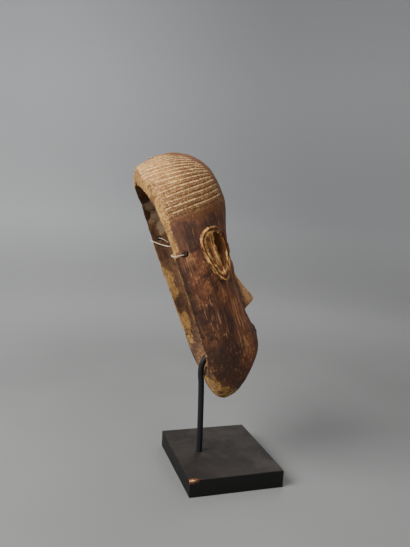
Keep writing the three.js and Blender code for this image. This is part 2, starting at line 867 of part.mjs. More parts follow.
addPiece("mask", geometryOf(maskSolid()), leaning, { color: COLOUR.wood, roughness: 0.7, metalness: 0 });
addPiece("tie_string", thread(), leaning, { color: COLOUR.thread, roughness: 0.9, metalness: 0 });
addPiece("stand_rod", rod(), group, { color: COLOUR.steel, roughness: 0.45, metalness: 0.6 });
addPiece("plinth", geometryOf(plinth()), group, { color: COLOUR.black, roughness: 0.6, metalness: 0 });

export default group;
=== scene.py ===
# %% [markdown]
# # A carved dance mask on its stand
# A long face cut from one block of wood hangs over a bent black rod that stands in a low black
# plinth. The measured model comes first and fixes every size and place. This script then dresses
# it: it carves the mask finely, twists the thread, smooths the rod, chips the plinth and gives
# each surface its finish.

# %% Load the measured model
import math

import bmesh
import bpy
import numpy as np
from mathutils import Matrix, Vector, noise


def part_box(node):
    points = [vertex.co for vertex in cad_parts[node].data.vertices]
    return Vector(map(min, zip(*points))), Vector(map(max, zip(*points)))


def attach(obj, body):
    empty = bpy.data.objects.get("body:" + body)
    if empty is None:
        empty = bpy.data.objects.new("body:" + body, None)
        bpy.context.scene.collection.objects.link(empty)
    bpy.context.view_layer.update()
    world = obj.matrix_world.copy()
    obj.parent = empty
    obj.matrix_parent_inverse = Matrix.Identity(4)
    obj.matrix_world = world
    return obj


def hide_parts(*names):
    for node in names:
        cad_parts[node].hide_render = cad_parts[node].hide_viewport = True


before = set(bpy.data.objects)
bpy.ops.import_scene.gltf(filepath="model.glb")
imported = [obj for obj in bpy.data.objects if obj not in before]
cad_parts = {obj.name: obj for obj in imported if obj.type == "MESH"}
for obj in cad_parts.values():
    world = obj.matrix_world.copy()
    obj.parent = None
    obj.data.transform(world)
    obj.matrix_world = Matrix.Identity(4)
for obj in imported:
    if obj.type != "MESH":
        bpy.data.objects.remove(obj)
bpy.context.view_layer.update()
BODY = "root"
MM = 0.001

# %% [markdown]
# ## The camera
# A camera is a place, a direction and a lens. The picture was taken from behind the mask's right
# cheek, a little above the middle, so that both the open back and the side of the face show.
# The lens is given for a film whose long side is 36 mm, which is what Blender's sensor width means
# for a tall picture. The yaw, pitch and roll are turned into one matrix: first the roll about the
# view's own axis, then the tilt, then the turn about the upright.

# %% Place the camera
CAMERA_PLACE = Vector((-0.59077, 0.22004, 0.31497))
CAMERA_YAW = math.radians(-17.897)
CAMERA_PITCH = math.radians(-7.502)
CAMERA_ROLL = math.radians(2.97)
CAMERA_LENS = 36.25
FILM_LENGTH = 36
NEAREST_SEEN = 0.01


def make_camera():
    data = bpy.data.cameras.new("camera")
    data.sensor_width = FILM_LENGTH
    data.lens = CAMERA_LENS
    data.clip_start = NEAREST_SEEN
    camera = bpy.data.objects.new("camera", data)
    bpy.context.scene.collection.objects.link(camera)
    turned = Matrix.Rotation(CAMERA_YAW - math.pi / 2, 4, "Z")
    tilted = Matrix.Rotation(math.pi / 2 + CAMERA_PITCH, 4, "X")
    rolled = Matrix.Rotation(CAMERA_ROLL, 4, "Z")
    camera.matrix_world = Matrix.Translation(CAMERA_PLACE) @ (turned @ tilted) @ rolled
    bpy.context.scene.camera = camera
    return camera


camera = make_camera()
view = camera.matrix_world.to_3x3() @ Vector((0, 0, -1))
print("camera looks along", tuple(round(v, 3) for v in view))

# %% [markdown]
# ## Recipes for finishes
# Every finish here is a small graph of nodes. Writing the graph out by hand takes many lines, so one
# small class keeps the graph and offers the few steps that all finishes use: a place on the
# object, a noise, a soft step, a mix, a little arithmetic and a bump. Each call adds a node or two
# and hands back an output, so a recipe reads from top to bottom.


# %% A class for recipes
class Finish:
    """A material built one node at a time."""

    def __init__(self, name, specular, roughness=0.6):
        self.material = bpy.data.materials.new(name)
        self.material.use_nodes = True
        self.tree = self.material.node_tree
        self.shader = self.tree.nodes["Principled BSDF"]
        self.shader.inputs["Roughness"].default_value = roughness
        self.shader.inputs["Specular IOR Level"].default_value = specular

    def node(self, kind, **settings):
        made = self.tree.nodes.new(kind)
        for key, value in settings.items():
            setattr(made, key, value)
        return made

    def feed(self, socket, value):
        if isinstance(value, bpy.types.NodeSocket):
            self.tree.links.new(value, socket)
        elif value is not None:
            socket.default_value = value

    def place(self, frame_of_piece=None):
        """Object coordinates, turned into a piece's own frame where it has one."""
        where = self.node("ShaderNodeTexCoord").outputs["Object"]
        if frame_of_piece is None:
            return where
        into = frame_of_piece.inverted()
        turn = self.node("ShaderNodeMapping")
        turn.inputs["Location"].default_value = into.to_translation()
        turn.inputs["Rotation"].default_value = into.to_euler("XYZ")
        self.feed(turn.inputs["Vector"], where)
        return turn.outputs["Vector"]

    def stretched(self, where, stretch, shift=(0, 0, 0)):
        scale = self.node("ShaderNodeMapping")
        scale.inputs["Scale"].default_value = stretch
        scale.inputs["Location"].default_value = shift
        self.feed(scale.inputs["Vector"], where)
        return scale.outputs["Vector"]

    def noise(self, where, size, detail, roughness=0.55, distortion=0.0):
        """Cloudy noise whose blobs are about the given size, in metres."""
        made = self.node("ShaderNodeTexNoise")
        self.feed(made.inputs["Vector"], where)
        made.inputs["Scale"].default_value = 1 / size
        made.inputs["Detail"].default_value = detail
        made.inputs["Roughness"].default_value = roughness
        made.inputs["Distortion"].default_value = distortion
        return made.outputs["Fac"]

    def between(self, value, low, high, to_low=0.0, to_high=1.0):
        """0 below low, 1 above high and a smooth step between."""
        made = self.node("ShaderNodeMapRange", interpolation_type="SMOOTHSTEP")
        self.feed(made.inputs["Value"], value)
        made.inputs["From Min"].default_value = low
        made.inputs["From Max"].default_value = high
        made.inputs["To Min"].default_value = to_low
        made.inputs["To Max"].default_value = to_high
        return made.outputs["Result"]

    def maths(self, operation, a, b=None):
        made = self.node("ShaderNodeMath", operation=operation)
        self.feed(made.inputs[0], a)
        self.feed(made.inputs[1], b)
        return made.outputs["Value"]

    def times(self, a, b):
        return self.maths("MULTIPLY", a, b)

    def total(self, *parts, less=0.0):
        """The sum of several values, each times its weight, less a plain number."""
        value = -less
        for part, weight in parts:
            value = self.maths("ADD", self.times(part, weight), value)
        return value

    def mix(self, factor, a, b):
        """The first colour where the factor is 0, the second where it is 1."""
        made = self.node("ShaderNodeMix", data_type="RGBA")
        self.feed(made.inputs[0], factor)
        for socket, value in ((made.inputs[6], a), (made.inputs[7], b)):
            self.feed(socket, (*value, 1) if isinstance(value, tuple) else value)
        return made.outputs[2]

    def carried(self, name):
        """The number that the mesh carries in an attribute."""
        return self.node("ShaderNodeAttribute", attribute_name=name).outputs["Fac"]

    def painted(self, name):
        """The three numbers that the mesh carries in a colour attribute."""
        attribute = self.node("ShaderNodeAttribute", attribute_name=name)
        parts = self.node("ShaderNodeSeparateColor")
        self.feed(parts.inputs["Color"], attribute.outputs["Color"])
        return [parts.outputs[key] for key in ("Red", "Green", "Blue")]

    def axes(self, where):
        parts = self.node("ShaderNodeSeparateXYZ")
        self.feed(parts.inputs["Vector"], where)
        return [parts.outputs[key] for key in ("X", "Y", "Z")]

    def distance(self, where):
        """How far a place lies from the origin of its coordinates."""
        made = self.node("ShaderNodeVectorMath", operation="LENGTH")
        self.feed(made.inputs[0], where)
        return made.outputs["Value"]

    def bump(self, height, distance, strength, under=None):
        made = self.node("ShaderNodeBump")
        self.feed(made.inputs["Strength"], strength)
        made.inputs["Distance"].default_value = distance
        self.feed(made.inputs["Height"], height)
        self.feed(made.inputs["Normal"], under)
        return made.outputs["Normal"]

    def finish(self, colour, roughness=None, normal=None):
        self.feed(self.shader.inputs["Base Color"], colour)
        self.feed(self.shader.inputs["Roughness"], roughness)
        self.feed(self.shader.inputs["Normal"], normal)
        return self.material


print("recipe steps:", [key for key in vars(Finish) if not key.startswith("_")])

# %% [markdown]
# ## Small helpers for meshes
# Pieces are drawn as rings of points in millimetres, skinned into a closed form, and cut with each
# other by boolean modifiers. Blender's MANIFOLD solver is the quick one: it asks for closed forms
# and keeps them closed. Each cutter carries a material of its own name, so the cut faces remember
# which tool made them, and the finish can treat a sawn edge differently from old skin.


# %% Make closed forms
def piece_of(name, mesh):
    piece = bpy.data.objects.new(name, mesh)
    bpy.context.scene.collection.objects.link(piece)
    return piece


def new_piece(name, points, faces, material):
    mesh = bpy.data.meshes.new(name)
    mesh.from_pydata([tuple(p) for p in points], [], faces)
    mesh.validate()
    mesh.materials.append(material)
    return piece_of(name, mesh)


def skin(rings, first, last):
    """Points and faces of a closed form from rings of equal count and a point at each end."""
    rings = np.asarray(rings, float)
    rows, count = rings.shape[:2]
    points = np.concatenate([[first], rings.reshape(-1, 3), [last]])
    end = len(points) - 1
    around = np.arange(count)
    after = (around + 1) % count
    faces = [(0, 1 + b, 1 + a) for a, b in zip(around, after)]
    for row in range(rows - 1):
        low = 1 + row * count
        high = low + count
        faces += [(low + a, low + b, high + b, high + a) for a, b in zip(around, after)]
    low = 1 + (rows - 1) * count
    faces += [(end, low + a, low + b) for a, b in zip(around, after)]
    return points, faces


def face_outwards(mesh):
    form = bmesh.new()
    form.from_mesh(mesh)
    if form.calc_volume(signed=True) < 0:
        bmesh.ops.reverse_faces(form, faces=form.faces)
    form.to_mesh(mesh)
    form.free()


def closed_form(name, rings, first, last, material):
    piece = new_piece(name, *skin(rings, first, last), material)
    face_outwards(piece.data)
    return piece


print("3 rings of 8 points make", len(skin(np.zeros((3, 8, 3)), (0, 0, 0), (0, 0, 1))[1]), "faces")


# %% Carve one form with another
def baked(piece):
    """Replaces a piece's mesh by what its modifiers make of it."""
    graph = bpy.context.evaluated_depsgraph_get()
    made = bpy.data.meshes.new_from_object(piece.evaluated_get(graph))
    piece.modifiers.clear()
    old = piece.data
    piece.data = made
    bpy.data.meshes.remove(old)
    return piece


def carve(piece, cutter, operation="DIFFERENCE"):
    """Cuts or joins with a boolean, applies it and throws the tool away."""
    step = piece.modifiers.new("carve", "BOOLEAN")
    step.operation = operation
    step.solver = "MANIFOLD"
    step.material_mode = "TRANSFER"
    step.object = cutter
    baked(piece)
    bpy.data.meshes.remove(cutter.data)
    return piece


def tag(name):
    """A bare material that only marks which tool made a face."""
    return bpy.data.materials.get(name) or bpy.data.materials.new(name)


print("materials before the first tool:", len(bpy.data.materials))


# %% Read and move points
def step_between(value, low, high):
    share = np.clip((value - low) / (high - low), 0, 1)
    return share * share * (3 - 2 * share)


def noise_at(points, size, shift=0.0, depth=3):
    """Cloudy noise between about -1 and 1 at each point, with blobs of the given size."""
    away = Vector((shift, 2 * shift, -shift))
    return np.array([noise.fractal(Vector(p) / size + away, 1.0, 2.0, depth) for p in points])


def points_of(mesh):
    flat = np.empty(3 * len(mesh.vertices))
    mesh.vertices.foreach_get("co", flat)
    return flat.reshape(-1, 3)


def set_points(mesh, points):
    mesh.vertices.foreach_set("co", np.asarray(points, np.float32).ravel())
    mesh.update()


def keep_numbers(mesh, name, values, domain="POINT"):
    """Writes one number for each point, or each face, under a name."""
    attribute = mesh.attributes.new(name, "FLOAT", domain)
    attribute.data.foreach_set("value", np.asarray(values, np.float32))


def smooth_shading(mesh, sharp_degrees=50):
    mesh.polygons.foreach_set("use_smooth", [True] * len(mesh.polygons))
    mesh.set_sharp_from_angle(angle=math.radians(sharp_degrees))


print("a soft step from 0 to 10 has reached", float(step_between(2.5, 0, 10)), "at 2.5")


# %% [markdown]
# ## The mask's own frame
# The mask leans back on its rod and is turned a little. Carving is easier in a frame of its own,
# where x runs across the face, depth runs from the open back to the front, and height runs up the
# flat back. One matrix carries the finished carving from that frame to its place.

# %% The mask's frame
ROD_BEHIND = 25
CHIN_EDGE_AHEAD = 2.3
CHIN_EDGE_HEIGHT = 107.2
LEAN_BACK = math.radians(21.3)
TURN = math.radians(-3)
MASK_PLACE = (
    Matrix.Translation(Vector((0, ROD_BEHIND, 0)) * MM)
    @ Matrix.Rotation(TURN, 4, "Z")
    @ Matrix.Translation(Vector((0, -CHIN_EDGE_AHEAD, CHIN_EDGE_HEIGHT)) * MM)
    @ Matrix.Rotation(-LEAN_BACK, 4, "X")
)


def in_mask(x, depth, height):
    """Points of the mask's frame as x, y, z, where y runs backwards."""
    x, depth, height = np.broadcast_arrays(x, depth, height)
    return np.stack([x, -depth, height], axis=-1).astype(float)


def set_in_place(piece):
    """From millimetres in the mask's frame to metres in the object's frame."""
    piece.data.transform(MASK_PLACE @ Matrix.Scale(MM, 4))
    piece.data.update()
    return piece


print("the chin's back edge stands at", tuple(round(v, 4) for v in MASK_PLACE.to_translation()))

# %% [markdown]
# ## The block
# The outside of the head is fixed by three curves from the tip of the chin to the crown: the front
# of the face, the back, and the half width. Each level between them is a rounded ring, fuller than
# an ellipse. A smooth spline through a dozen points holds such a curve, and reading it at
# any height gives the ring of that level.

# %% Curves of the block
CHIN_TIP = -25
CROWN = 260.6
FRONT = (
    (24, CHIN_TIP), (36, -20.5), (50, -8.5), (62.5, 4.5), (71.5, 18), (74.5, 33), (72, 50), (69, 68),
    (67.5, 98), (69, 124), (74.5, 158), (83, 187), (84.5, 203), (82.5, 220), (78, 234), (66, 249),
    (49, 258), (30, CROWN),
)
BACK = (
    (24, CHIN_TIP), (11.5, -23), (4, -16.5), (1.2, -8), (0.6, 2), (-5, 25), (-12, 60), (-14, 130),
    (-13, 200), (-12, 232), (-7, 248), (0, 254), (9, 257.6), (30, CROWN),
)
HALF_WIDTH = (
    (0, CHIN_TIP), (15, -22.9), (25, -17.5), (34, -8), (41, 4.5), (49.5, 25), (56.5, 48), (60.5, 72),
    (64, 100), (68, 130), (69, 158), (67.5, 184), (62, 206), (52.5, 224), (40, 239), (24, 252), (0, CROWN),
)
BACK_CUT = (
    (0, -60), (0.8, -10), (1.9, 60), (1.9, 200), (1, 216), (-0.8, 229), (-3.4, 240), (-5.6, 250),
    (-9, 300),
)
WIDEST_AT = 12
WIDEST_FOLLOWS_BACK = 0.35
FRONT_ROUNDNESS = 2.15


def smooth_line(points, ends, slopes, samples):
    """Points of a smooth curve. The slopes at both ends of each stretch come from its four neighbours."""
    t = np.linspace(0, 1, samples, endpoint=False)[:, None]
    line = []
    for a, b, c, d in zip(ends, ends[1:], ends[2:], ends[3:]):
        slope_b, slope_c = slopes(a, b, c, d)
        line.append(
            (2 * b - 2 * c + slope_b + slope_c) * t**3
            + (-3 * b + 3 * c - 2 * slope_b - slope_c) * t**2
            + slope_b * t
            + b
        )
    return np.concatenate(line + [points[-1:]])


def read_curve(points, samples=24):
    """A smooth curve through pairs of value and height, as a function of the height."""
    p = np.array(points, float)
    ends = np.concatenate([p[:1], p, p[-1:]])
    line = smooth_line(p, ends, lambda a, b, c, d: ((c - a) / 2, (d - b) / 2), samples)
    return lambda height: np.interp(height, line[:, 1], line[:, 0])


front, back, half_width, back_cut = (read_curve(c) for c in (FRONT, BACK, HALF_WIDTH, BACK_CUT))
print("half width at the temples:", round(float(half_width(158)), 1), "mm")

# %% [markdown]
# ## The face
# The front of the face can't be seen in the picture, so it gets a calm, plain design of this
# carver's own: a long straight nose, pierced almond eyes under soft brows and a small closed mouth.
# Each feature is a smooth hill or hollow added to the depth of the block. A formula of x and
# height does this well, because hills can overlap without any seam.

# %% Relief of the face
NOSE = (
    # half width, rise, height
    (13, 0.0, 65.5), (14.5, 13.5, 69.5), (15, 16.5, 74), (14, 15.5, 80), (11, 11.5, 90), (7.5, 7, 104),
    (6, 4.5, 118), (5, 0, 130),
)
EYE = {"apart": 24, "height": 106, "half_long": 10.5, "half_high": 2.6}
SOCKET = {"long": 19, "high": 12, "deep": 3.5, "full": 0.8}
LID = {"long": 13.5, "high": 7.2, "rise": 3.4}
BROW = {"height": 124, "rise": 2.4, "spread": 6, "full": 28, "reach": 46, "droop": 0.004}
MOUTH = {"height": 40, "half_long": 19, "half_high": 1.5, "deep": 3.4, "lip_high": 6.5, "lip_rise": 2.2}
NOSE_WING = {"apart": 9.5, "half_wide": 4, "height": 74.5, "half_high": 5, "rise": 2.6}
NOSE_FULLNESS = 0.85
RELIEF_FADES = (0.3, 0.9)

nose_rise = read_curve([(rise, height) for _, rise, height in NOSE])
nose_half = read_curve([(half, height) for half, _, height in NOSE])


def eye_oval(away, height, long, high):
    """1 in the middle of an oval round the eye, 0 on its edge and less outside."""
    return 1 - ((away - EYE["apart"]) / long) ** 2 - ((height - EYE["height"]) / high) ** 2


def relief(x, height):
    """How far the carved face stands out of the plain block."""
    away = np.abs(x)
    across = np.minimum(1, away / nose_half(height))
    rise = np.where((height > NOSE[0][2]) & (height < NOSE[-1][2]), nose_rise(height), 0)
    out = np.maximum(rise, 0) * (0.5 + 0.5 * np.cos(math.pi * across)) ** NOSE_FULLNESS
    wing_across = (away - NOSE_WING["apart"]) / NOSE_WING["half_wide"]
    wing_up = (height - NOSE_WING["height"]) / NOSE_WING["half_high"]
    out = out + NOSE_WING["rise"] * np.exp(-(wing_across**2) - wing_up**2)
    brow_at = BROW["height"] - BROW["droop"] * x**2
    brow_end = 1 - step_between(away, BROW["full"], BROW["reach"])
    out = out + BROW["rise"] * brow_end * np.exp(-(((height - brow_at) / BROW["spread"]) ** 2))
    socket = eye_oval(away, height, SOCKET["long"], SOCKET["high"])
    out = out - SOCKET["deep"] * step_between(socket, 0, SOCKET["full"])
    lid = eye_oval(away, height, LID["long"], LID["high"])
    out = out + LID["rise"] * np.sqrt(np.maximum(lid, 0))
    lips = 1 - (x / (MOUTH["half_long"] + 1)) ** 2 - ((height - MOUTH["height"]) / MOUTH["lip_high"]) ** 2
    return out + MOUTH["lip_rise"] * np.sqrt(np.maximum(lips, 0))


print("the nose stands out", round(float(relief(np.array(0.0), np.array(74.0))), 1), "mm")

# %% [markdown]
# ## Rings of the block
# The rings are close together in the hair, where the grooves need them, and closer still towards
# the chin and the crown, where the form closes quickly. The step between rings follows from the
# distance to the nearer end, so there is no list of heights to keep.

# %% Skin the block
FACE_STEP = 1.35
HAIR_STEP = 0.78
HAIR_FROM = 190
COLUMNS = 176
BACK_COLUMNS = 22
CROWDING = 0.25
BACK_ROUNDNESS = {"ends": 2.3, "middle": 6, "from": 5, "full": 45, "eases_at": 226, "round_at": 250}
END_RINGS = {"gap": 0.04, "least_step": 0.06, "growth": 0.22, "last_gap": 0.02}
HAND_WAVES = (
    # size, amount, shift
    (26, 0.45, 3.0), (9, 0.18, 7.0),
)


def levels():
    heights = [CHIN_TIP + END_RINGS["gap"]]
    while heights[-1] < CROWN - END_RINGS["gap"]:
        here = heights[-1]
        to_end = min(here - CHIN_TIP, CROWN - here)
        usual = HAIR_STEP if here > HAIR_FROM else FACE_STEP
        heights.append(here + min(usual, END_RINGS["least_step"] + END_RINGS["growth"] * to_end))
    return np.array([h for h in heights if h < CROWN - END_RINGS["last_gap"]])


def middle_depth(ahead, behind):
    return np.minimum(WIDEST_AT + WIDEST_FOLLOWS_BACK * np.maximum(0, behind), (ahead + behind) / 2)


def block_rings(heights):
    level = heights[:, None]
    wide, ahead, behind = half_width(level), front(level), back(level)
    middle = middle_depth(ahead, behind)
    u = np.linspace(-1, 1, COLUMNS + 1)[None, :]
    angle = (math.pi / 2) * ((1 - CROWDING) * u + CROWDING * u**3)
    x = wide * np.sign(u) * np.abs(np.sin(angle)) ** (2 / FRONT_ROUNDNESS)
    out = np.maximum(0, np.cos(angle)) ** (2 / FRONT_ROUNDNESS)
    depth = middle + (ahead - middle) * out + relief(x, level) * step_between(out, *RELIEF_FADES)
    shape = BACK_ROUNDNESS
    square = step_between(level, shape["from"], shape["full"]) * (
        1 - step_between(level, shape["eases_at"], shape["round_at"])
    )
    power = 2 / (shape["ends"] + (shape["middle"] - shape["ends"]) * square)
    turn = math.pi * np.arange(1, BACK_COLUMNS)[None, :] / BACK_COLUMNS
    back_x = wide * np.sign(np.cos(turn)) * np.abs(np.cos(turn)) ** power
    back_depth = middle + (behind - middle) * np.sin(turn) ** power
    return np.concatenate([in_mask(x, depth, level), in_mask(back_x, back_depth, level)], axis=1)


def uneven(piece, waves):
    """Pushes every point in or out a little, as a hand with a knife does."""
    mesh = piece.data
    points = points_of(mesh)
    normals = np.array([v.normal for v in mesh.vertices])
    push = sum(amount * noise_at(points, size, shift) for size, amount, shift in waves)
    set_points(mesh, points + normals * push[:, None])
    return piece


heights = levels()
mask = closed_form(
    "mask_carving",
    block_rings(heights),
    in_mask(0, front(CHIN_TIP), CHIN_TIP),
    in_mask(0, front(CROWN), CROWN),
    tag("skin"),
)
uneven(mask, HAND_WAVES)
print(len(heights), "rings,", len(mask.data.polygons), "faces in the block")

# %% [markdown]
# ## Grooves of the hair
# The hair is a row of parallel grooves. Over the sides they run level, and above the ears they turn
# over the dome like the segments of a melon. They are ribs that follow a surface, which is
# what Geometry Nodes are good at: the tree works out, for each point, how far it lies from the nearest
# groove's line and pushes it in along its normal. Named inputs hold the sizes, so the
# same tree would carve finer or coarser hair.

# %% A class for geometry trees
class Tree:
    """A Geometry Nodes tree with named inputs, built one node at a time."""

    def __init__(self, name, **numbers):
        self.tree = bpy.data.node_groups.new(name, "GeometryNodeTree")
        interface = self.tree.interface
        interface.new_socket("Geometry", in_out="INPUT", socket_type="NodeSocketGeometry")
        self.inputs = {}
        for key, value in numbers.items():
            socket = interface.new_socket(key, in_out="INPUT", socket_type="NodeSocketFloat")
            socket.default_value = value
            self.inputs[key] = (socket.identifier, value)
        interface.new_socket("Geometry", in_out="OUTPUT", socket_type="NodeSocketGeometry")
        self.start = self.tree.nodes.new("NodeGroupInput")
        self.end = self.tree.nodes.new("NodeGroupOutput")

    def value(self, key):
        return self.start.outputs[key]

    def node(self, kind, inputs=(), **settings):
        made = self.tree.nodes.new(kind)
        for key, value in settings.items():
            setattr(made, key, value)
        for key, value in dict(inputs).items():
            if isinstance(value, bpy.types.NodeSocket):
                self.tree.links.new(value, made.inputs[key])
            else:
                made.inputs[key].default_value = value
        return made

    def maths(self, operation, a, b=0.0):
        return self.node("ShaderNodeMath", {0: a, 1: b}, operation=operation).outputs[0]

    def times(self, a, b):
        return self.maths("MULTIPLY", a, b)

    def noise(self, where, scale, detail):
        values = {"Vector": where, "Scale": scale, "Detail": detail}
        return self.node("ShaderNodeTexNoise", values).outputs["Fac"]

    def between(self, value, low, high, to_low=0.0, to_high=1.0):
        values = {"Value": value, "From Min": low, "From Max": high, "To Min": to_low, "To Max": to_high}
        made = self.node("ShaderNodeMapRange", values, interpolation_type="SMOOTHSTEP")
        return made.outputs["Result"]

    def close(self, geometry, material):
        """The last steps of every tree: real geometry with its material."""
        real = self.node("GeometryNodeRealizeInstances", {"Geometry": geometry})
        dressed = self.node("GeometryNodeSetMaterial", {"Geometry": real.outputs[0], "Material": material})
        self.tree.links.new(dressed.outputs[0], self.end.inputs["Geometry"])

    def apply_to(self, piece):
        """Puts the tree on a piece, sets its inputs by their identifiers and bakes the result."""
        modifier = piece.modifiers.new(self.tree.name, "NODES")
        modifier.node_group = self.tree
        for identifier, value in self.inputs.values():
            modifier[identifier] = value
        return baked(piece)


print("tree steps:", [key for key in vars(Tree) if not key.startswith("_")])


# %% Carve the grooves
HAIR_PITCH = 5.5
HAIR_FRONT_GAP = 8
HAIR_LOWEST_FADE = 3.5
HAIR_PATCHES = {"scale": 0.12, "shifts_end_by": 6.0, "thin": 0.25, "thick": 0.6, "least": 0.65, "most": 1.1}
HAIR_END = (1.0, 6.0)


def leave_room_for_forehead(piece):
    """Each point keeps how far it lies behind the line in front where the hair ends."""
    points = points_of(piece.data)
    behind = front(points[:, 2]) - HAIR_FRONT_GAP + points[:, 1]
    keep_numbers(piece.data, "behind_hairline", behind)


def height_in_hair(tree, position):
    """Height over the first groove, which turns over the dome like a fan and wanders a little."""
    parts = tree.node("ShaderNodeSeparateXYZ", {0: position}).outputs
    across = tree.maths("ABSOLUTE", parts["X"])
    above = tree.maths("MAXIMUM", tree.maths("SUBTRACT", parts["Z"], tree.value("fan_height")), 0.0)
    turned = tree.times(tree.maths("ARCTAN2", above, across), tree.value("fan_radius"))
    level = tree.maths("MINIMUM", parts["Z"], tree.value("fan_height"))
    line = tree.maths("ADD", level, turned)
    wave = tree.noise(position, tree.maths("DIVIDE", 1.0, tree.value("wander_size")), 2.0)
    wander = tree.times(tree.maths("SUBTRACT", wave, 0.5), tree.value("wander"))
    return tree.maths("SUBTRACT", tree.maths("ADD", line, wander), tree.value("first"))


def hair_tree():
    tree = Tree(
        "hair_grooves",
        first=197.0,
        pitch=HAIR_PITCH,
        half_width=1.35,
        depth=1.25,
        fan_height=220.0,
        fan_radius=46.0,
        wander=1.1,
        wander_size=22.0,
    )
    position = tree.node("GeometryNodeInputPosition").outputs[0]
    counted = height_in_hair(tree, position)
    phase = tree.maths("DIVIDE", counted, tree.value("pitch"))
    offset = tree.maths("ABSOLUTE", tree.maths("SUBTRACT", phase, tree.maths("ROUND", phase)))
    groove = tree.between(tree.times(offset, tree.value("pitch")), 0.0, tree.value("half_width"), 1.0, 0.0)
    starts = tree.between(counted, -HAIR_LOWEST_FADE, HAIR_LOWEST_FADE)
    room = tree.node("GeometryNodeInputNamedAttribute", {"Name": "behind_hairline"}, data_type="FLOAT")
    patchy = tree.noise(position, HAIR_PATCHES["scale"], 1.0)
    shifted = tree.times(patchy, HAIR_PATCHES["shifts_end_by"])
    ragged = tree.maths("ADD", room.outputs["Attribute"], shifted)
    stops = tree.between(ragged, *HAIR_END)
    worn = tree.between(patchy, *(HAIR_PATCHES[key] for key in ("thin", "thick", "least", "most")))
    amount = tree.times(tree.times(groove, starts), tree.times(stops, worn))
    push = tree.times(amount, tree.times(tree.value("depth"), -1.0))
    normal = tree.node("GeometryNodeInputNormal").outputs[0]
    move = tree.node("ShaderNodeVectorMath", {0: normal, "Scale": push}, operation="SCALE").outputs[0]
    carved = tree.node("GeometryNodeSetPosition", {"Geometry": tree.value("Geometry"), "Offset": move})
    geometry = carved.outputs[0]
    hair = tree.times(tree.times(starts, stops), worn)
    for name, value in (("hair", hair), ("strand", counted)):
        kept = tree.node(
            "GeometryNodeStoreNamedAttribute",
            {"Geometry": geometry, "Name": name, "Value": value},
            data_type="FLOAT",
            domain="POINT",
        )
        geometry = kept.outputs[0]
    tree.close(geometry, tag("skin"))
    return tree


leave_room_for_forehead(mask)
hair_tree().apply_to(mask)
print("grooves carved over", len(mask.data.vertices), "points")

# %% [markdown]
# ## Ears
# Each ear is a raised leaf with a double rim, broad at the top and narrow below. Behind the inner
# rim the wood slopes down to a deep slot at the front. The leaf is skinned from rings that run from
# its root inside the head, over its edge and both rims, to the lip of the slope. The slope itself
# is scooped out later, with a second form.

# %% Shape of the ears
EAR = {"tip": 118.5, "long": 58.5, "half_wide": 16, "tip_depth": 47.5, "top_depth": 47, "top_squareness": 8}
EAR_CENTRE = 0.6
EAR_BACK_RIM = (71, 31)
EAR_FRONT_RIM = (57.5, 62)
EAR_PROFILE = (
    # share of the way out from the middle, height over the rim
    (0.86, -16), (0.9, -15.5), (0.985, -9), (1.0, -5), (1.005, -2.6), (0.995, -0.9), (0.97, -0.1),
    (0.94, 0), (0.91, -0.3), (0.885, -1.5), (0.865, -2.2), (0.845, -1.4), (0.815, -0.3),
    (0.785, -0.1), (0.75, -0.6), (0.715, -1.5), (0.69, -2.6),
)
EAR_SIDES = 72
EAR_POINTEDNESS = 0.62

ear_middle = (
    EAR["tip_depth"] + (EAR["top_depth"] - EAR["tip_depth"]) * EAR_CENTRE,
    EAR["tip"] + EAR["long"] * EAR_CENTRE,
)
ear_run = np.array(EAR_FRONT_RIM, float) - np.array(EAR_BACK_RIM, float)
ear_run /= np.linalg.norm(ear_run)


def ear_outline():
    turn = 2 * math.pi * np.arange(EAR_SIDES) / EAR_SIDES
    up = 0.5 - 0.5 * np.cos(turn)
    pointed = (1 - (1 - up) ** 2) ** EAR_POINTEDNESS
    half = EAR["half_wide"] * pointed * np.sqrt(1 - up ** EAR["top_squareness"])
    middle = EAR["tip_depth"] + (EAR["top_depth"] - EAR["tip_depth"]) * up
    return middle + np.sign(np.sin(turn)) * half, EAR["tip"] + EAR["long"] * up


def ear_point(side, depth, height, raised):
    """A point over the slanting plane of the ear, raised outwards from it."""
    ahead = (depth - EAR_BACK_RIM[1]) / ear_run[1]
    x = EAR_BACK_RIM[0] + ear_run[0] * ahead + ear_run[1] * raised
    return in_mask(side * x, depth - ear_run[0] * raised, height)


def ear_ring(side, share, raised):
    depth, height = ear_outline()
    depth = ear_middle[0] + share * (depth - ear_middle[0])
    height = ear_middle[1] + share * (height - ear_middle[1])
    return ear_point(side, depth, height, raised(depth) if callable(raised) else raised)


def ear_form(side):
    rings = [ear_ring(side, share, raised) for share, raised in EAR_PROFILE]
    ends = [ear_point(side, *ear_middle, EAR_PROFILE[k][1]) for k in (0, -1)]
    return closed_form("ear", rings, ends[0], ends[1], tag("ear"))


for side in (-1, 1):
    carve(mask, ear_form(side), "UNION")
print("ears joined:", len(mask.data.polygons), "faces")

# %% [markdown]
# ## The open back
# The mask was sawn flat behind and hollowed with an adze, whose scoops still show. The hollow is
# skinned like the block and then dented with round cells, each a shallow scoop that runs along the
# face. A wedge swept along its rim cuts the broad bevel of bare wood over the top of the back edge.

# %% Saw the back flat
SAW = {"half_wide": 100, "columns": 61, "low": -60.0, "high": 300.0, "rows": 140, "behind": 120}
SAW_WOBBLE = {"amount": 0.35, "size": 14, "shift": 5.0}


def end_centres(rings):
    return [np.mean(rings[k], axis=0) for k in (0, -1)]


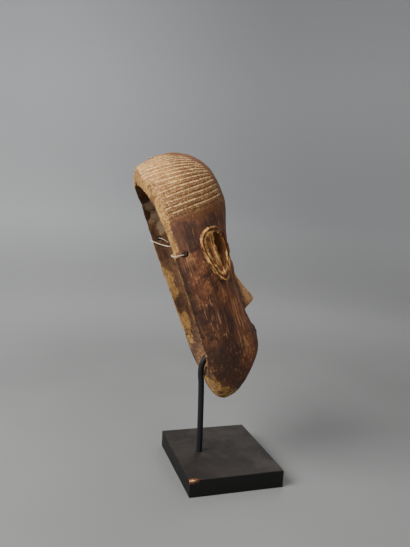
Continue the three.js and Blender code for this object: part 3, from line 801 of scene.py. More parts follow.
def saw_slab():
    """What the saw took away: all that lies behind the slightly wavy cut."""
    level = np.linspace(SAW["low"], SAW["high"], SAW["rows"])
    far_side = np.array([SAW["high"], SAW["low"]])
    rings = []
    for x in np.linspace(-SAW["half_wide"], SAW["half_wide"], SAW["columns"]):
        edge = back_cut(level)
        wobble = noise_at(in_mask(x, edge, level), SAW_WOBBLE["size"], SAW_WOBBLE["shift"], 2)
        edge = edge + SAW_WOBBLE["amount"] * wobble
        rings.append(np.concatenate([in_mask(x, edge, level), in_mask(x, -SAW["behind"], far_side)]))
    return closed_form("saw_slab", rings, *end_centres(rings), tag("back_edge"))


carve(mask, saw_slab())
print("sawn:", len(mask.data.polygons), "faces")


# %% Hollow it with an adze
HOLLOW_FLOOR = 3.4
HOLLOW_TOP = 240
HOLLOW_FRONT = (
    (-8, HOLLOW_FLOOR), (1, 6.4), (7.6, 12.6), (20, 17.5), (34, 23), (48, 36), (54, 56), (54, 90),
    (54, 120), (60, 156), (68, 188), (67, 208), (60, 225), (45, 237), (26, HOLLOW_TOP),
)
HOLLOW_BACK = (
    (-8, HOLLOW_FLOOR), (-14, 11), (-22, 40), (-25, 120), (-24, 200), (-18, 226), (-6, 236),
    (26, HOLLOW_TOP),
)
HOLLOW_HALF_WIDTH = (
    (0, HOLLOW_FLOOR), (12.5, 8), (23, 14), (33, 22), (42, 32), (50, 46), (54, 70), (56, 100), (60, 128),
    (61.5, 156), (60.5, 178), (57, 196), (50.5, 208), (39, 224), (23, 235), (0, HOLLOW_TOP),
)
HOLLOW_WIDEST_AT = 8
HOLLOW_ROUNDNESS = 2.33
HOLLOW_ROWS = 120
HOLLOW_SIDES = 120
SCOOP = {"long": 21, "wide": 10, "deep": 1.1, "ridge": 0.8, "level": 0.35}

hollow_front = read_curve(HOLLOW_FRONT)
hollow_back = read_curve(HOLLOW_BACK)
hollow_half = read_curve(HOLLOW_HALF_WIDTH)


def hollow_form():
    rows = np.arange(1, HOLLOW_ROWS) / HOLLOW_ROWS
    level = (HOLLOW_FLOOR + (HOLLOW_TOP - HOLLOW_FLOOR) * (0.5 - 0.5 * np.cos(math.pi * rows)))[:, None]
    wide, ahead, behind = hollow_half(level), hollow_front(level), hollow_back(level)
    middle = np.minimum(HOLLOW_WIDEST_AT, (ahead + behind) / 2)
    turn = 2 * math.pi * np.arange(HOLLOW_SIDES)[None, :] / HOLLOW_SIDES - math.pi / 2
    power = 2 / HOLLOW_ROUNDNESS
    x = wide * np.sign(np.sin(turn)) * np.abs(np.sin(turn)) ** power
    reach = np.where(np.cos(turn) >= 0, ahead, behind) - middle
    depth = middle + reach * np.abs(np.cos(turn)) ** power
    ends = [in_mask(0, hollow_front(h), h) for h in (HOLLOW_FLOOR, HOLLOW_TOP)]
    return closed_form("hollow", in_mask(x, depth, level), ends[0], ends[1], tag("hollow"))


def scooped(piece):
    """Shallow adze scoops: deepest in the middle of each cell, with low ridges between them."""
    mesh = piece.data
    points = points_of(mesh)
    normals = np.array([v.normal for v in mesh.vertices])
    size = Vector((1 / SCOOP["wide"], 1 / SCOOP["wide"], 1 / SCOOP["long"]))
    near = np.array([noise.voronoi(Vector(p) * size)[0][0] for p in points])
    push = SCOOP["deep"] * (SCOOP["level"] - np.minimum(near, SCOOP["ridge"]) ** 2)
    set_points(mesh, points + normals * push[:, None])
    return piece


carve(mask, scooped(hollow_form()))
print("hollowed:", len(mask.data.polygons), "faces")

# %% Bevel the upper back edge
BEVEL = {"from": 158, "full": 165, "eases_at": 190, "flat_at": 220, "side_slope": 0.95, "top_slope": 0.3}
BEVEL_TOOL = {"inside": 1.5, "outside": 30, "behind": 12, "start_below": 4, "stop_below": 4, "proud": 0.15}
BEVEL_WOBBLE = {"amount": 0.5, "size": 17}
BEVEL_STEPS = 46


def bevel_path():
    low = BEVEL["from"] - BEVEL_TOOL["start_below"]
    high = HOLLOW_TOP - BEVEL_TOOL["stop_below"]
    share = np.sin((math.pi / 2) * np.arange(BEVEL_STEPS + 1) / BEVEL_STEPS)
    height = low + (high - low) * share
    half = hollow_half(height)
    return np.concatenate([np.stack([half, height], 1), np.stack([-half[::-1], height[::-1]], 1)])


def bevel_form():
    path = bevel_path()
    rings = []
    for i, (x, height) in enumerate(path):
        ahead = path[min(i + 1, len(path) - 1)] - path[max(i - 1, 0)]
        ahead = ahead / np.linalg.norm(ahead)
        outward = np.array([ahead[1], -ahead[0]])
        eased = step_between(height, BEVEL["eases_at"], BEVEL["flat_at"])
        slope = BEVEL["side_slope"] + (BEVEL["top_slope"] - BEVEL["side_slope"]) * eased
        slope = slope * step_between(height, BEVEL["from"], BEVEL["full"])
        wave = noise.fractal(Vector((x, 0, height)) / BEVEL_WOBBLE["size"], 1.0, 2.0, 3)
        edge = float(back_cut(height)) - BEVEL_TOOL["proud"] + BEVEL_WOBBLE["amount"] * wave
        inside, outside, behind = (BEVEL_TOOL[key] for key in ("inside", "outside", "behind"))
        corners = (
            (-inside, edge - inside * slope),
            (outside, edge + outside * slope),
            (outside, edge - behind),
            (-inside, edge - behind),
        )
        rings.append([in_mask(x + outward[0] * a, d, height + outward[1] * a) for a, d in corners])
    return closed_form("bevel", rings, *end_centres(rings), tag("bevel"))


carve(mask, bevel_form())
print("bevelled:", len(mask.data.polygons), "faces")

# %% [markdown]
# ## Eyes, mouth, ears and tie holes
# What remains are cuts that go deep: the slope inside each ear, the slits of the eyes, the line
# between the lips, and one small round hole on each side for the tie. All are closed forms
# again, so the same carving step takes them out.

# %% A tool for the slope inside each ear
CONCHA = {"share": 0.74, "deep": 13.5, "shallow": 0.8, "from": -4, "to": 11}
CONCHA_TOOL = {"proud": 4, "flare": 0.02, "wall_top": -1.0, "wall": 0.12}
CONCHA_SHARES = (0.7, 0.67, 0.63, 0.58, 0.52, 0.45, 0.36, 0.25, 0.13)


def concha_floor(depth):
    slope = step_between(depth - ear_middle[0], CONCHA["from"], CONCHA["to"])
    return -(CONCHA["shallow"] + (CONCHA["deep"] - CONCHA["shallow"]) * slope)


def concha_form(side):
    """The tool that scoops an ear out: a steep wall all round, then a floor that slopes to the front."""
    proud = CONCHA_TOOL["proud"]
    rings = [
        ear_ring(side, CONCHA["share"] + CONCHA_TOOL["flare"], proud),
        ear_ring(side, CONCHA["share"], CONCHA_TOOL["wall_top"]),
    ]
    for share in CONCHA_SHARES:
        steep = min(1, (CONCHA["share"] - share) / CONCHA_TOOL["wall"]) ** 0.5
        rings.append(ear_ring(side, share, lambda depth: concha_floor(depth) * steep))
    first = ear_point(side, *ear_middle, proud)
    last = ear_point(side, *ear_middle, concha_floor(ear_middle[0]))
    return closed_form("concha", rings, first, last, tag("concha"))


print("the slope goes", round(-float(concha_floor(EAR_FRONT_RIM[1])), 1), "mm deep")


# %% Cut the openings
TIE_HOLES = (
    # side, depth, height, radius, how much it leans back for each millimetre outwards
    (-1, 13.8, 160.1, 2.5, 0.0),
    (1, 12.6, 167.2, 1.8, 0.4),
)
INNER_WALL = 59
TIE_DRILL = {"sides": 24, "from": 50, "to": 81, "step": 1.2, "ragged": 0.04, "lobes": 3}
ALMOND_SIDES = 40
SLIT_THROUGH = (30, 110)


def almond(x, height, half_long, half_high, sharpness=1.3):
    turn = 2 * math.pi * np.arange(ALMOND_SIDES) / ALMOND_SIDES
    up = np.sign(np.sin(turn)) * np.abs(np.sin(turn)) ** sharpness
    return x + half_long * np.cos(turn), height + half_high * up


def block_depth(x, height):
    """The depth of the plain front of the block."""
    middle = middle_depth(front(height), back(height))
    inwards = np.minimum(1, np.abs(x) / half_width(height))
    return middle + (front(height) - middle) * (1 - inwards**FRONT_ROUNDNESS) ** (1 / FRONT_ROUNDNESS)


def eye_form(side):
    x, height = almond(side * EYE["apart"], EYE["height"], EYE["half_long"], EYE["half_high"])
    rings = [in_mask(x, depth, height) for depth in SLIT_THROUGH]
    ends = [in_mask(side * EYE["apart"], depth, EYE["height"]) for depth in SLIT_THROUGH]
    return closed_form("eye", rings, ends[0], ends[1], tag("slit"))


def mouth_form():
    x, height = almond(0, MOUTH["height"], MOUTH["half_long"], MOUTH["half_high"])
    floor = block_depth(x, MOUTH["height"]) + MOUTH["lip_rise"] - MOUTH["deep"]
    rings = [in_mask(x, floor, height), in_mask(x, SLIT_THROUGH[1], height)]
    ends = [in_mask(0, float(floor.max()), MOUTH["height"]), in_mask(0, SLIT_THROUGH[1], MOUTH["height"])]
    return closed_form("mouth", rings, ends[0], ends[1], tag("slit"))


def tie_hole_form(side, depth, height, radius, lean):
    drill = TIE_DRILL
    turn = 2 * math.pi * np.arange(drill["sides"]) / drill["sides"]
    ragged = radius * (1 + drill["ragged"] * np.sin(drill["lobes"] * turn + side))
    rings, ends = [], []
    for x in np.arange(drill["from"], drill["to"], drill["step"]):
        middle = depth - lean * (x - INNER_WALL)
        rings.append(in_mask(side * x, middle + ragged * np.cos(turn), height + ragged * np.sin(turn)))
        ends.append(in_mask(side * x, middle, height))
    return closed_form("tie_hole", rings, ends[0], ends[-1], tag("hole"))


for side in (-1, 1):
    carve(mask, concha_form(side))
    carve(mask, eye_form(side))
carve(mask, mouth_form())
for hole in TIE_HOLES:
    carve(mask, tie_hole_form(*hole))
print("openings cut:", len(mask.data.polygons), "faces")

# %% [markdown]
# ## Worn edges
# A boolean leaves edges as sharp as glass, and a mask that has been worn and handled for years has
# none. Here each sharp edge is found by the angle between its faces, and the points near it are drawn
# towards their neighbours a few times, which rounds it by about a millimetre. Then the parts that
# stand out get small knocks, weaker on the bevel and the sawn edge, and the wood of the ears is torn
# along its fibres. A noise that is drawn out in height does that.

# %% Round the sharp edges
SHARP = math.radians(28)
WEAR_ROUNDS = 4
WEAR_REACH = 2
WELD_WITHIN = 0.03
SHORTEST_EDGE = 0.02


def wear_edges(piece):
    form = bmesh.new()
    form.from_mesh(piece.data)
    bmesh.ops.remove_doubles(form, verts=form.verts, dist=WELD_WITHIN)
    bmesh.ops.dissolve_degenerate(form, edges=form.edges, dist=SHORTEST_EDGE)
    bmesh.ops.triangulate(form, faces=[f for f in form.faces if len(f.verts) > 4])
    inner = [e for e in form.edges if len(e.link_faces) == 2]
    sharp = {v for e in inner if e.calc_face_angle() > SHARP for v in e.verts}
    zone = set(sharp)
    for _ in range(WEAR_REACH):
        zone |= {e.other_vert(v) for v in zone for e in v.link_edges}
    zone = list(zone)
    for _ in range(WEAR_ROUNDS):
        bmesh.ops.smooth_vert(
            form, verts=zone, factor=0.5, use_axis_x=True, use_axis_y=True, use_axis_z=True
        )
    form.to_mesh(piece.data)
    form.free()
    return len(sharp)


print(wear_edges(mask), "points on sharp edges were worn")


# %% Knock and tear what stands out
KNOCKS = (
    # size, amount, shift
    (5.5, 0.95, 1.0), (2.4, 0.6, 4.0),
)
KNOCKS_ON_BACK = 0.4
FIBRES = {"across": 2.2, "stretch": 0.13, "torn": 0.85, "shift": 9.0}


def share_of_tags(mesh):
    """For each point, how much of what meets there was made by each tool."""
    names = [m.name for m in mesh.materials]
    shares = {name: np.zeros(len(mesh.vertices)) for name in names}
    total = np.zeros(len(mesh.vertices))
    for polygon in mesh.polygons:
        corners = list(polygon.vertices)
        shares[names[polygon.material_index]][corners] += 1
        total[corners] += 1
    return {name: value / np.maximum(total, 1) for name, value in shares.items()}


def chipped(piece):
    """Knocks on the ears, weaker ones on the bevel and the back edge, and torn fibres on the ears."""
    mesh = piece.data
    made_by = share_of_tags(mesh)
    ears = made_by["ear"] + made_by["concha"]
    exposed = np.minimum(1, ears + KNOCKS_ON_BACK * (made_by["bevel"] + made_by["back_edge"]))
    points = points_of(mesh)
    normals = np.array([v.normal for v in mesh.vertices])
    hit = np.flatnonzero(exposed > 0)
    push = sum(amount * noise_at(points[hit], size, shift) for size, amount, shift in KNOCKS)
    run_up = points[hit] * (1, 1, FIBRES["stretch"])
    torn = FIBRES["torn"] * noise_at(run_up, FIBRES["across"], FIBRES["shift"], 2)
    push = push + torn * np.minimum(1, ears)[hit]
    points[hit] += normals[hit] * (push * exposed[hit])[:, None]
    set_points(mesh, points)
    return len(hit)


print(chipped(mask), "points were knocked")

# %% [markdown]
# ## What the wood remembers
# The finish needs to know where it is: on old skin, in a groove, on a cut edge or inside the hollow.
# The faces still carry the names of the tools that made them, so those names are turned into numbers
# on the points. Five sets of three numbers and a few single ones hold the kind of place, the broad
# tones of the skin with the painted shadow beside each ear, the parts of an ear with its painted
# highlight and painted shade, the marks in the hollow with its painted shade, and what is rubbed,
# scratched or pale, the paleness of the crown partly a painted light. Tones are laid on as soft
# patches in the mask's own frame. They depend on depth and height alone, so the side that the
# picture doesn't show repeats the side that it does.

# %% Tones laid on as patches and strokes
RED_PATCHES = (
    # centre depth, centre height, half depth, half height, strength
    (18, 153, 9, 6, 1.0), (27, 142, 9, 9, 1.0), (15, 133, 8, 10, 0.8), (24, 118, 11, 12, 1.0),
    (38, 128, 8, 9, 0.9), (40, 104, 7, 12, 0.9), (15, 106, 8, 9, 0.7), (49, 76, 6, 22, 0.8),
    (24, 70, 12, 10, 0.55), (8, 64, 5, 14, 0.5), (53, 36, 9, 22, 1.0), (57, 66, 6, 18, 1.0),
    (76, 197, 8, 7, 0.8), (26, 193, 12, 5, 0.5), (36, 20, 10, 12, 0.4), (51, 85, 8, 14, 1.2),
)
DARK_PATCHES = (
    (52, 181, 18, 6, 0.8), (20, 172, 10, 9, 0.75), (37, 70, 3, 30, 1.0), (16, 44, 12, 12, 1.0),
    (26, 26, 14, 12, 1.0), (14, 18, 8, 8, 0.9), (34, -8, 10, 9, 0.8), (5, 138, 3.5, 22, 0.8),
    (6, 95, 4, 30, 0.8), (28, 90, 6, 7, 0.6),
)
TAN_LINING = (
    (4, 117, 8, 14, 1.0), (5, 100, 8, 9, 0.85), (7, 60, 7, 12, 1.0), (6, 40, 7, 11, 0.6),
    (9, 18, 9, 10, 0.45),
)
GREY_LINING = ((12, 209, 8, 6, 1.1), (16, 197, 6, 7, 1.0), (17.7, 181, 6, 9, 1.0), (9, 190, 5, 8, 0.7))
# Pale crown: tan wood, with a painted light where the light falls on the back of the crown.
PALE_DOME = ((14, 246, 24, 12, 1.0), (4, 225, 9, 24, 0.6), (30, 234, 18, 10, 0.6))
SCRATCHES = (
    # from depth and height, to depth and height
    ((12, 105), (19.5, 102)), ((51, 49), (50, 31)), ((28, 92), (27, 76)), ((14, 82), (17, 81)),
    ((50, 92), (49.5, 64)), ((45, 60), (44.5, 40)), ((15, 154.2), (19.5, 153.6)), ((26, 64), (29, 63)),
)
SCRATCH_HALF_WIDTH = 0.75
PATCH_SOFTNESS = 0.7


def patches(depth, height, table):
    amount = np.zeros(len(depth))
    for at_depth, at_height, half_depth, half_high, strength in table:
        away = ((depth - at_depth) / half_depth) ** 2 + ((height - at_height) / half_high) ** 2
        amount = np.maximum(amount, strength * np.exp(-PATCH_SOFTNESS * away))
    return amount


def strokes(depth, height, table, half_wide):
    """1 on the line of each stroke, fading over its half width."""
    amount = np.zeros(len(depth))
    for start, end in table:
        start, end = np.array(start, float), np.array(end, float)
        run = end - start
        share = np.clip(((depth - start[0]) * run[0] + (height - start[1]) * run[1]) / (run @ run), 0, 1)
        away = np.hypot(depth - start[0] - share * run[0], height - start[1] - share * run[1])
        amount = np.maximum(amount, 1 - np.minimum(1, away / half_wide))
    return amount


print("patches:", sum(len(t) for t in (RED_PATCHES, DARK_PATCHES, TAN_LINING, GREY_LINING, PALE_DOME)))


# %% A place in the ear
# Bands across an ear: a painted highlight on the two crests, painted shade in the valley between them and
# just outside the rim.
EAR_CRESTS = (
    # share of the way out, half width of the band
    (0.975, 0.022), (0.79, 0.045),
)
EAR_VALLEYS = ((0.88, 0.058), (1.02, 0.025))
EAR_SHADOW = ((1.04, 0.05),)
# Where the front wall of the slot lies; it gets painted shade.
EAR_FRONT_WALL = (0.55, 0.68)


def place_in_ear(x, depth, height):
    """How far out in the ear's outline a point lies, and how high over the plane of the ear."""
    from_rim = np.stack([np.abs(x) - EAR_BACK_RIM[0], depth - EAR_BACK_RIM[1]])
    raised = from_rim[0] * ear_run[1] - from_rim[1] * ear_run[0]
    along = from_rim[0] * ear_run[0] + from_rim[1] * ear_run[1]
    outline_depth, outline_height = ear_outline()
    out = np.stack([outline_depth - ear_middle[0], outline_height - ear_middle[1]])
    order = np.argsort(np.arctan2(out[1], out[0]))
    here = np.stack([EAR_BACK_RIM[1] + along * ear_run[1] - ear_middle[0], height - ear_middle[1]])
    reach = np.interp(
        np.arctan2(here[1], here[0]),
        np.arctan2(out[1], out[0])[order],
        np.hypot(*out)[order],
        period=2 * math.pi,
    )
    return np.hypot(*here) / reach, raised


def bands(share, table):
    return np.max([np.exp(-(((share - at) / wide) ** 2)) for at, wide in table], axis=0)


print("the middle of the ear lies at a depth and height of", ear_middle)


# %% Write the numbers on the points
CHIN_LINE = ((36, 1.5), (31, 3), (22, 5), (10, 8), (3, 12.5), (-2, 20), (-14, 29), (-20, 36), (-25, 44))
FADES = {
    # from where to where a tone fades in, in millimetres
    "chin_cut": (-3, 6),
    "corner_starts": (20, 40),
    "rim_bare_above": (225, 240),
    "rim_bare_below": (0, 20),
    "dome_edge_drops": (10, 50),
    "dome": (-9, 5),
    "front_of_ear": (44, 54),
    "foot_of_ear": (124, 134),
    "top_of_ear": (163, 171),
    "up_to_crest": (-3, -1),
    "down_to_root": (-8, -3),
    "front_wall": (-1, 4),
    "trough_deep": (8, 12),
    "shaded_front": (8, 12),
    "shaded_up": (128, 136),
    "beside_ear": (40, 52),
    "ahead_of_back": (20, 27),
    "stain_up": (150, 168),
    "face_ahead": (35, 50),
    "stands_out": (1, 9),
    "hollow_unlit": (20, 40),
    "crown_ahead": (25, 60),
    "sides_of_hair": (200, 212),
}
CHIN_CUT = {"above_line": 1.5, "bare": 0.58}
SAWN_CORNER = {"gain": 7, "most": 0.78, "spread": 0.75, "on_rim": 4}
DOME_EDGE = {"height": 196, "drop": 6}
EAR_SHADE = {"fades_at_top": 0.7, "front": 0.8, "stain": 1.5}
UNLIT = {"tie_hole": 2, "deep": 0.7}
# Paleness of the crown: tan wood with a painted light at the back, painted shade towards the front, and
# less pale lower down.
PALE = {"usual": 0.5, "patches": 0.5, "less_ahead": 0.5, "less_at_sides": 0.26}


def fade(value, name):
    return step_between(value, *FADES[name])


def spread(mesh, values, share):
    """Each point also takes a share of the largest value among its neighbours."""
    ends = np.zeros(2 * len(mesh.edges), int)
    mesh.edges.foreach_get("vertices", ends)
    first, second = ends[0::2], ends[1::2]
    wider = values.copy()
    np.maximum.at(wider, first, share * values[second])
    np.maximum.at(wider, second, share * values[first])
    return wider


def write_colours(mesh, name, *three):
    attribute = mesh.attributes.new(name, "FLOAT_COLOR", "POINT")
    values = np.stack([*three, np.ones(len(three[0]))], axis=1)
    attribute.data.foreach_set("color", np.clip(values, 0, 1).astype(np.float32).ravel())


def bare_places(mesh, made_by, depth, height):
    """Wood without its skin: the bevel, the cut chin, and the inner corner and the ends of the rim."""
    line = np.array(CHIN_LINE, float)
    below_line = np.interp(depth, line[:, 1], line[:, 0]) + CHIN_CUT["above_line"] - height
    chin = fade(below_line, "chin_cut") * made_by["skin"]
    rim = made_by["back_edge"]
    meeting = np.minimum(SAWN_CORNER["most"], SAWN_CORNER["gain"] * rim * made_by["hollow"])
    corner = spread(mesh, meeting, SAWN_CORNER["spread"]) * np.minimum(1, SAWN_CORNER["on_rim"] * rim)
    corner = corner * fade(height, "corner_starts")
    bare = made_by["bevel"] + CHIN_CUT["bare"] * chin + corner
    return bare + rim * (fade(height, "rim_bare_above") + 1 - fade(height, "rim_bare_below"))


def ear_places(made_by, x, depth, height):
    """The crests of an ear with their painted highlight; painted shade in its valleys, at its root, on its
    front and in its slot; and its painted shadow on the head.
    """
    share, raised = place_in_ear(x, depth, height)
    behind = np.maximum(1 - fade(depth, "front_of_ear"), 1 - fade(height, "foot_of_ear"))
    low = 1 - EAR_SHADE["fades_at_top"] * fade(height, "top_of_ear")
    # Painted highlight on the crests.
    crest = bands(share, EAR_CRESTS) * made_by["ear"] * fade(raised, "up_to_crest") * behind
    # Painted shade in the valleys and in the crease at the root of the leaf.
    valley = np.maximum(bands(share, EAR_VALLEYS) * behind, 1 - fade(raised, "down_to_root")) * low
    valley = valley * made_by["ear"]
    ahead = depth - ear_middle[0]
    # Painted shade on the front wall and deep in the slot, and on the front of the leaf.
    front_wall = step_between(share, *EAR_FRONT_WALL) * fade(ahead, "front_wall")
    trough = made_by["concha"] * np.maximum(fade(-raised, "trough_deep"), front_wall)
    shaded = made_by["ear"] * fade(ahead, "shaded_front") * fade(height, "shaded_up") * low
    valley = np.maximum(valley, EAR_SHADE["front"] * shaded)
    shadow = bands(share, EAR_SHADOW) * made_by["skin"] * fade(np.abs(x), "beside_ear")
    return crest, np.maximum(valley, trough), shadow * fade(depth, "ahead_of_back")


def mark_places(mesh):
    points = points_of(mesh)
    x, depth, height = points[:, 0], -points[:, 1], points[:, 2]
    made_by = share_of_tags(mesh)
    skin, rim = made_by["skin"], made_by["back_edge"]

    hair = np.zeros(len(points))
    mesh.attributes["hair"].data.foreach_get("value", hair)
    inside = sum(made_by[name] for name in ("hollow", "slit", "hole"))
    write_colours(mesh, "place", bare_places(mesh, made_by, depth, height), hair * skin, inside)

    crest, valley, shadow = ear_places(made_by, x, depth, height)
    lower_edge = DOME_EDGE["height"] - DOME_EDGE["drop"] * fade(depth, "dome_edge_drops")
    dome = fade(height - lower_edge, "dome") * skin
    # Dark patches, and the painted shadow of each ear on the head beside it.
    dark = np.maximum(patches(depth, height, DARK_PATCHES), shadow)
    write_colours(mesh, "tone", dome, patches(depth, height, RED_PATCHES), dark)
    # The ears: where each ear is, its painted highlight and its painted shade.
    write_colours(mesh, "ear_parts", made_by["ear"] + made_by["concha"], crest, valley)

    tan, grey = (patches(depth, height, table) for table in (TAN_LINING, GREY_LINING))
    # Painted shade: deep in the hollow and inside the tie holes.
    unlit = np.maximum(UNLIT["tie_hole"] * made_by["hole"], UNLIT["deep"] * fade(depth, "hollow_unlit"))
    write_colours(mesh, "lining", tan, grey, unlit)

    rubbed = np.maximum(fade(depth, "face_ahead") * skin * fade(relief(x, height), "stands_out"), 0)
    scratch = strokes(depth, height, SCRATCHES, SCRATCH_HALF_WIDTH) * skin
    # Paleness of the crown: tan wood with a painted light at the back and painted shade towards the front.
    pale = PALE["usual"] + PALE["patches"] * patches(depth, height, PALE_DOME)
    pale = pale - PALE["less_ahead"] * fade(depth, "crown_ahead")
    pale = pale - PALE["less_at_sides"] * (1 - fade(height, "sides_of_hair"))
    write_colours(mesh, "worn", rubbed, scratch, pale)
    keep_numbers(mesh, "ear_rim", made_by["ear"] * (1 + EAR_SHADE["stain"] * fade(height, "stain_up")))
    keep_numbers(mesh, "back_rim", rim)


mark_places(mask.data)
print("attributes:", [a.name for a in mask.data.attributes if a.data_type == "FLOAT_COLOR"])

# %% [markdown]
# ## Finish of the carved wood
# The wood is old, and its colour comes in layers. A dark red-brown skin lies over everything, rubbed
# through to orange on the cheek. Tan wood shows on the dome, with a painted light on the back of the
# crown and painted shade towards its front; pale dust sits in the grooves, each with a thin painted
# shadow below it; bare wood shows on the bevel and the chin; and the hollow is brown, with greyish
# marks in the dome, tan adze marks low down and painted shade deep inside. The ears get a painted
# highlight on their crests, painted shade in their valleys and slots, and a painted shadow on the
# head beside them. Fine grain runs along the face. The recipe lays these layers one over another,
# and the edge of each is broken up by noise, because a clean border would look like paint.

# %% Colours of the skin
DARK_SKIN = (0.08, 0.036, 0.024)
BROWN_SKIN = (0.16, 0.066, 0.036)
RED_SKIN = (0.25, 0.092, 0.044)
ORANGE = (0.38, 0.155, 0.062)
TAN_FLECK = (0.66, 0.36, 0.16)
SLATE = (0.075, 0.04, 0.027)


def skin_colour(recipe, marks):
    """Dark skin with grain, rubbed to red and orange in soft patches with small tan flecks, and darkened
    towards slate in dark patches and in the painted shadow of each ear.
    """
    colour = recipe.mix(recipe.between(marks["mottle"], 0.4, 0.6), DARK_SKIN, BROWN_SKIN)
    reach = recipe.total((marks["red"], 0.68), (marks["blotch"], 1.1), (marks["fleck"], 0.8), less=0.95)
    colour = recipe.mix(recipe.between(reach, 0.15, 0.6, 0, 0.9), colour, RED_SKIN)
    hot = recipe.total((marks["red"], 0.55), (marks["fleck"], 1.7), (marks["blotch"], 0.8), less=1.25)
    colour = recipe.mix(recipe.between(hot, 0.38, 0.76, 0, 0.85), colour, ORANGE)
    small = recipe.total((marks["red"], 0.3), (marks["speck"], 1.6), (marks["fleck"], 0.7), less=1.15)
    colour = recipe.mix(recipe.between(small, 0.38, 0.64, 0, 0.85), colour, TAN_FLECK)
    colour = recipe.mix(recipe.between(marks["streak"], 0.54, 0.68, 0, 0.6), colour, ORANGE)
    colour = recipe.mix(recipe.between(marks["streak"], 0.32, 0.46, 0.6, 0), colour, DARK_SKIN)
    thin = recipe.times(recipe.between(marks["thin_streak"], 0.57, 0.7), marks["streaky"])
    colour = recipe.mix(recipe.times(thin, 0.7), colour, TAN_FLECK)
    # Dark patches and the painted shadow of each ear darken the skin towards slate.
    dark_and_ear_shadow = recipe.total((marks["dark"], 1.0), (marks["blotch"], 0.9), less=0.45)
    return recipe.mix(recipe.between(dark_and_ear_shadow, 0.3, 0.85, 0, 0.82), colour, SLATE)


print("skin, from dark to light:", DARK_SKIN, BROWN_SKIN, RED_SKIN, ORANGE)


# %% Colours of the dome
DOME_BROWN = (0.15, 0.062, 0.026)
DOME_TAN = (0.48, 0.235, 0.08)
DOME_GAP = (0.24, 0.1, 0.035)
CREAM = (0.86, 0.475, 0.12)
DUST = (0.97, 0.65, 0.27)


def dome_colour(recipe, marks):
    """Brown ridges with strands, paler towards the back of the crown in tan wood and a painted light, cream
    dust in the grooves and a thin painted shadow below each groove.
    """
    # The paleness is tan wood and, on the back of the crown, a painted light.
    lighter = recipe.total((marks["strands"], 1.7), (marks["pale"], 0.84), (marks["fleck"], 0.6), less=1.68)
    colour = recipe.mix(recipe.between(lighter, -0.2, 0.25), DOME_BROWN, DOME_TAN)
    colour = recipe.mix(recipe.between(lighter, 0.2, 0.62), colour, CREAM)
    colour = recipe.mix(recipe.between(marks["fleck"], 0.3, 0.44, 0.6, 0), colour, DOME_TAN)
    gaps = recipe.total((marks["gaps"], 1.0), (marks["blotch"], 0.5), less=0.25)
    gap = recipe.times(recipe.between(gaps, 0.4, 0.5, 1, 0), recipe.between(lighter, 0.05, 0.4, 0, 0.9))
    colour = recipe.mix(gap, colour, DOME_GAP)
    for low, high, tint in ((0.47, 0.38, DOME_BROWN), (0.55, 0.64, DUST)):
        speckled = recipe.times(recipe.between(marks["speck"], low, high, 0, 0.5), marks["hair"])
        colour = recipe.mix(speckled, colour, tint)
    crooked = recipe.total((marks["strand"], 1 / HAIR_PITCH), (marks["fleck"], 0.16), less=0.08)
    nearest = recipe.maths("ROUND", crooked)
    over = recipe.total((crooked, HAIR_PITCH), (nearest, -HAIR_PITCH))
    line = recipe.between(recipe.maths("ABSOLUTE", over), 0.3, 0.95, 1, 0)
    dusty = recipe.times(line, recipe.between(marks["fleck"], 0.38, 0.56, 0.25, 1.0))
    dusty = recipe.times(dusty, recipe.between(marks["hair"], 0.1, 0.7))
    dusty = recipe.times(dusty, recipe.between(marks["blotch"], 0.38, 0.54, 0.35, 1.0))
    dusty = recipe.times(dusty, recipe.between(marks["strand"], -1.0, 5.0))
    colour = recipe.mix(dusty, colour, DUST)
    # Painted shadow: a thin dark line just below each groove.
    under = recipe.times(recipe.between(over, -1.0, -0.7, 1, 0), recipe.between(over, -1.9, -1.2))
    shade = recipe.times(under, recipe.between(marks["hair"], 0.1, 0.7, 0, 0.6))
    return recipe.mix(shade, colour, DARK_SKIN)


print("dome, from dark to light:", DOME_BROWN, DOME_GAP, DOME_TAN, CREAM)


# %% Colours of the ears
EAR_TAN = (0.98, 0.49, 0.15)
EAR_RED = (0.66, 0.25, 0.07)
EAR_LINE = (0.2, 0.072, 0.024)
# The colour of the painted shade in an ear.
TROUGH = (0.08, 0.026, 0.01)


def ear_colour(recipe, marks):
    """Orange slopes, crests with a broken painted highlight, and painted shade in the valleys, at the root
    and in the slot.
    """
    colour = recipe.mix(recipe.between(marks["streak"], 0.44, 0.53), EAR_RED, EAR_TAN)
    colour = recipe.mix(recipe.between(marks["streak"], 0.35, 0.41, 0.8, 0), colour, EAR_LINE)
    colour = recipe.mix(recipe.between(marks["fleck"], 0.54, 0.74, 0, 0.6), colour, EAR_RED)
    colour = recipe.mix(recipe.between(marks["thin_streak"], 0.38, 0.46, 0.9, 0), colour, EAR_LINE)
    colour = recipe.mix(recipe.between(marks["thin_streak"], 0.52, 0.6, 0, 0.9), colour, DUST)
    stain = recipe.times(marks["ear_rim"], recipe.between(marks["blotch"], 0.38, 0.58, 0.85, 0.2))
    colour = recipe.mix(stain, colour, BROWN_SKIN)
    # Painted highlight on the crests, broken up by noise.
    broken = recipe.times(marks["crest"], recipe.between(marks["fleck"], 0.3, 0.62, 0.85, 0.15))
    colour = recipe.mix(broken, colour, CREAM)
    # Painted shade in the valleys, at the root and in the slot.
    return recipe.mix(recipe.between(marks["valley"], 0.15, 0.8, 0, 0.9), colour, TROUGH)


print("ears, from dark to light:", TROUGH, EAR_LINE, EAR_RED, EAR_TAN)


# %% Colours of the hollow and of bare wood
LINING_DARK = (0.07, 0.033, 0.02)
LINING_BROWN = (0.225, 0.108, 0.047)
LINING_TAN = (0.5, 0.28, 0.088)
LINING_LOW = (0.22, 0.105, 0.036)
LINING_GREY = (0.42, 0.28, 0.165)
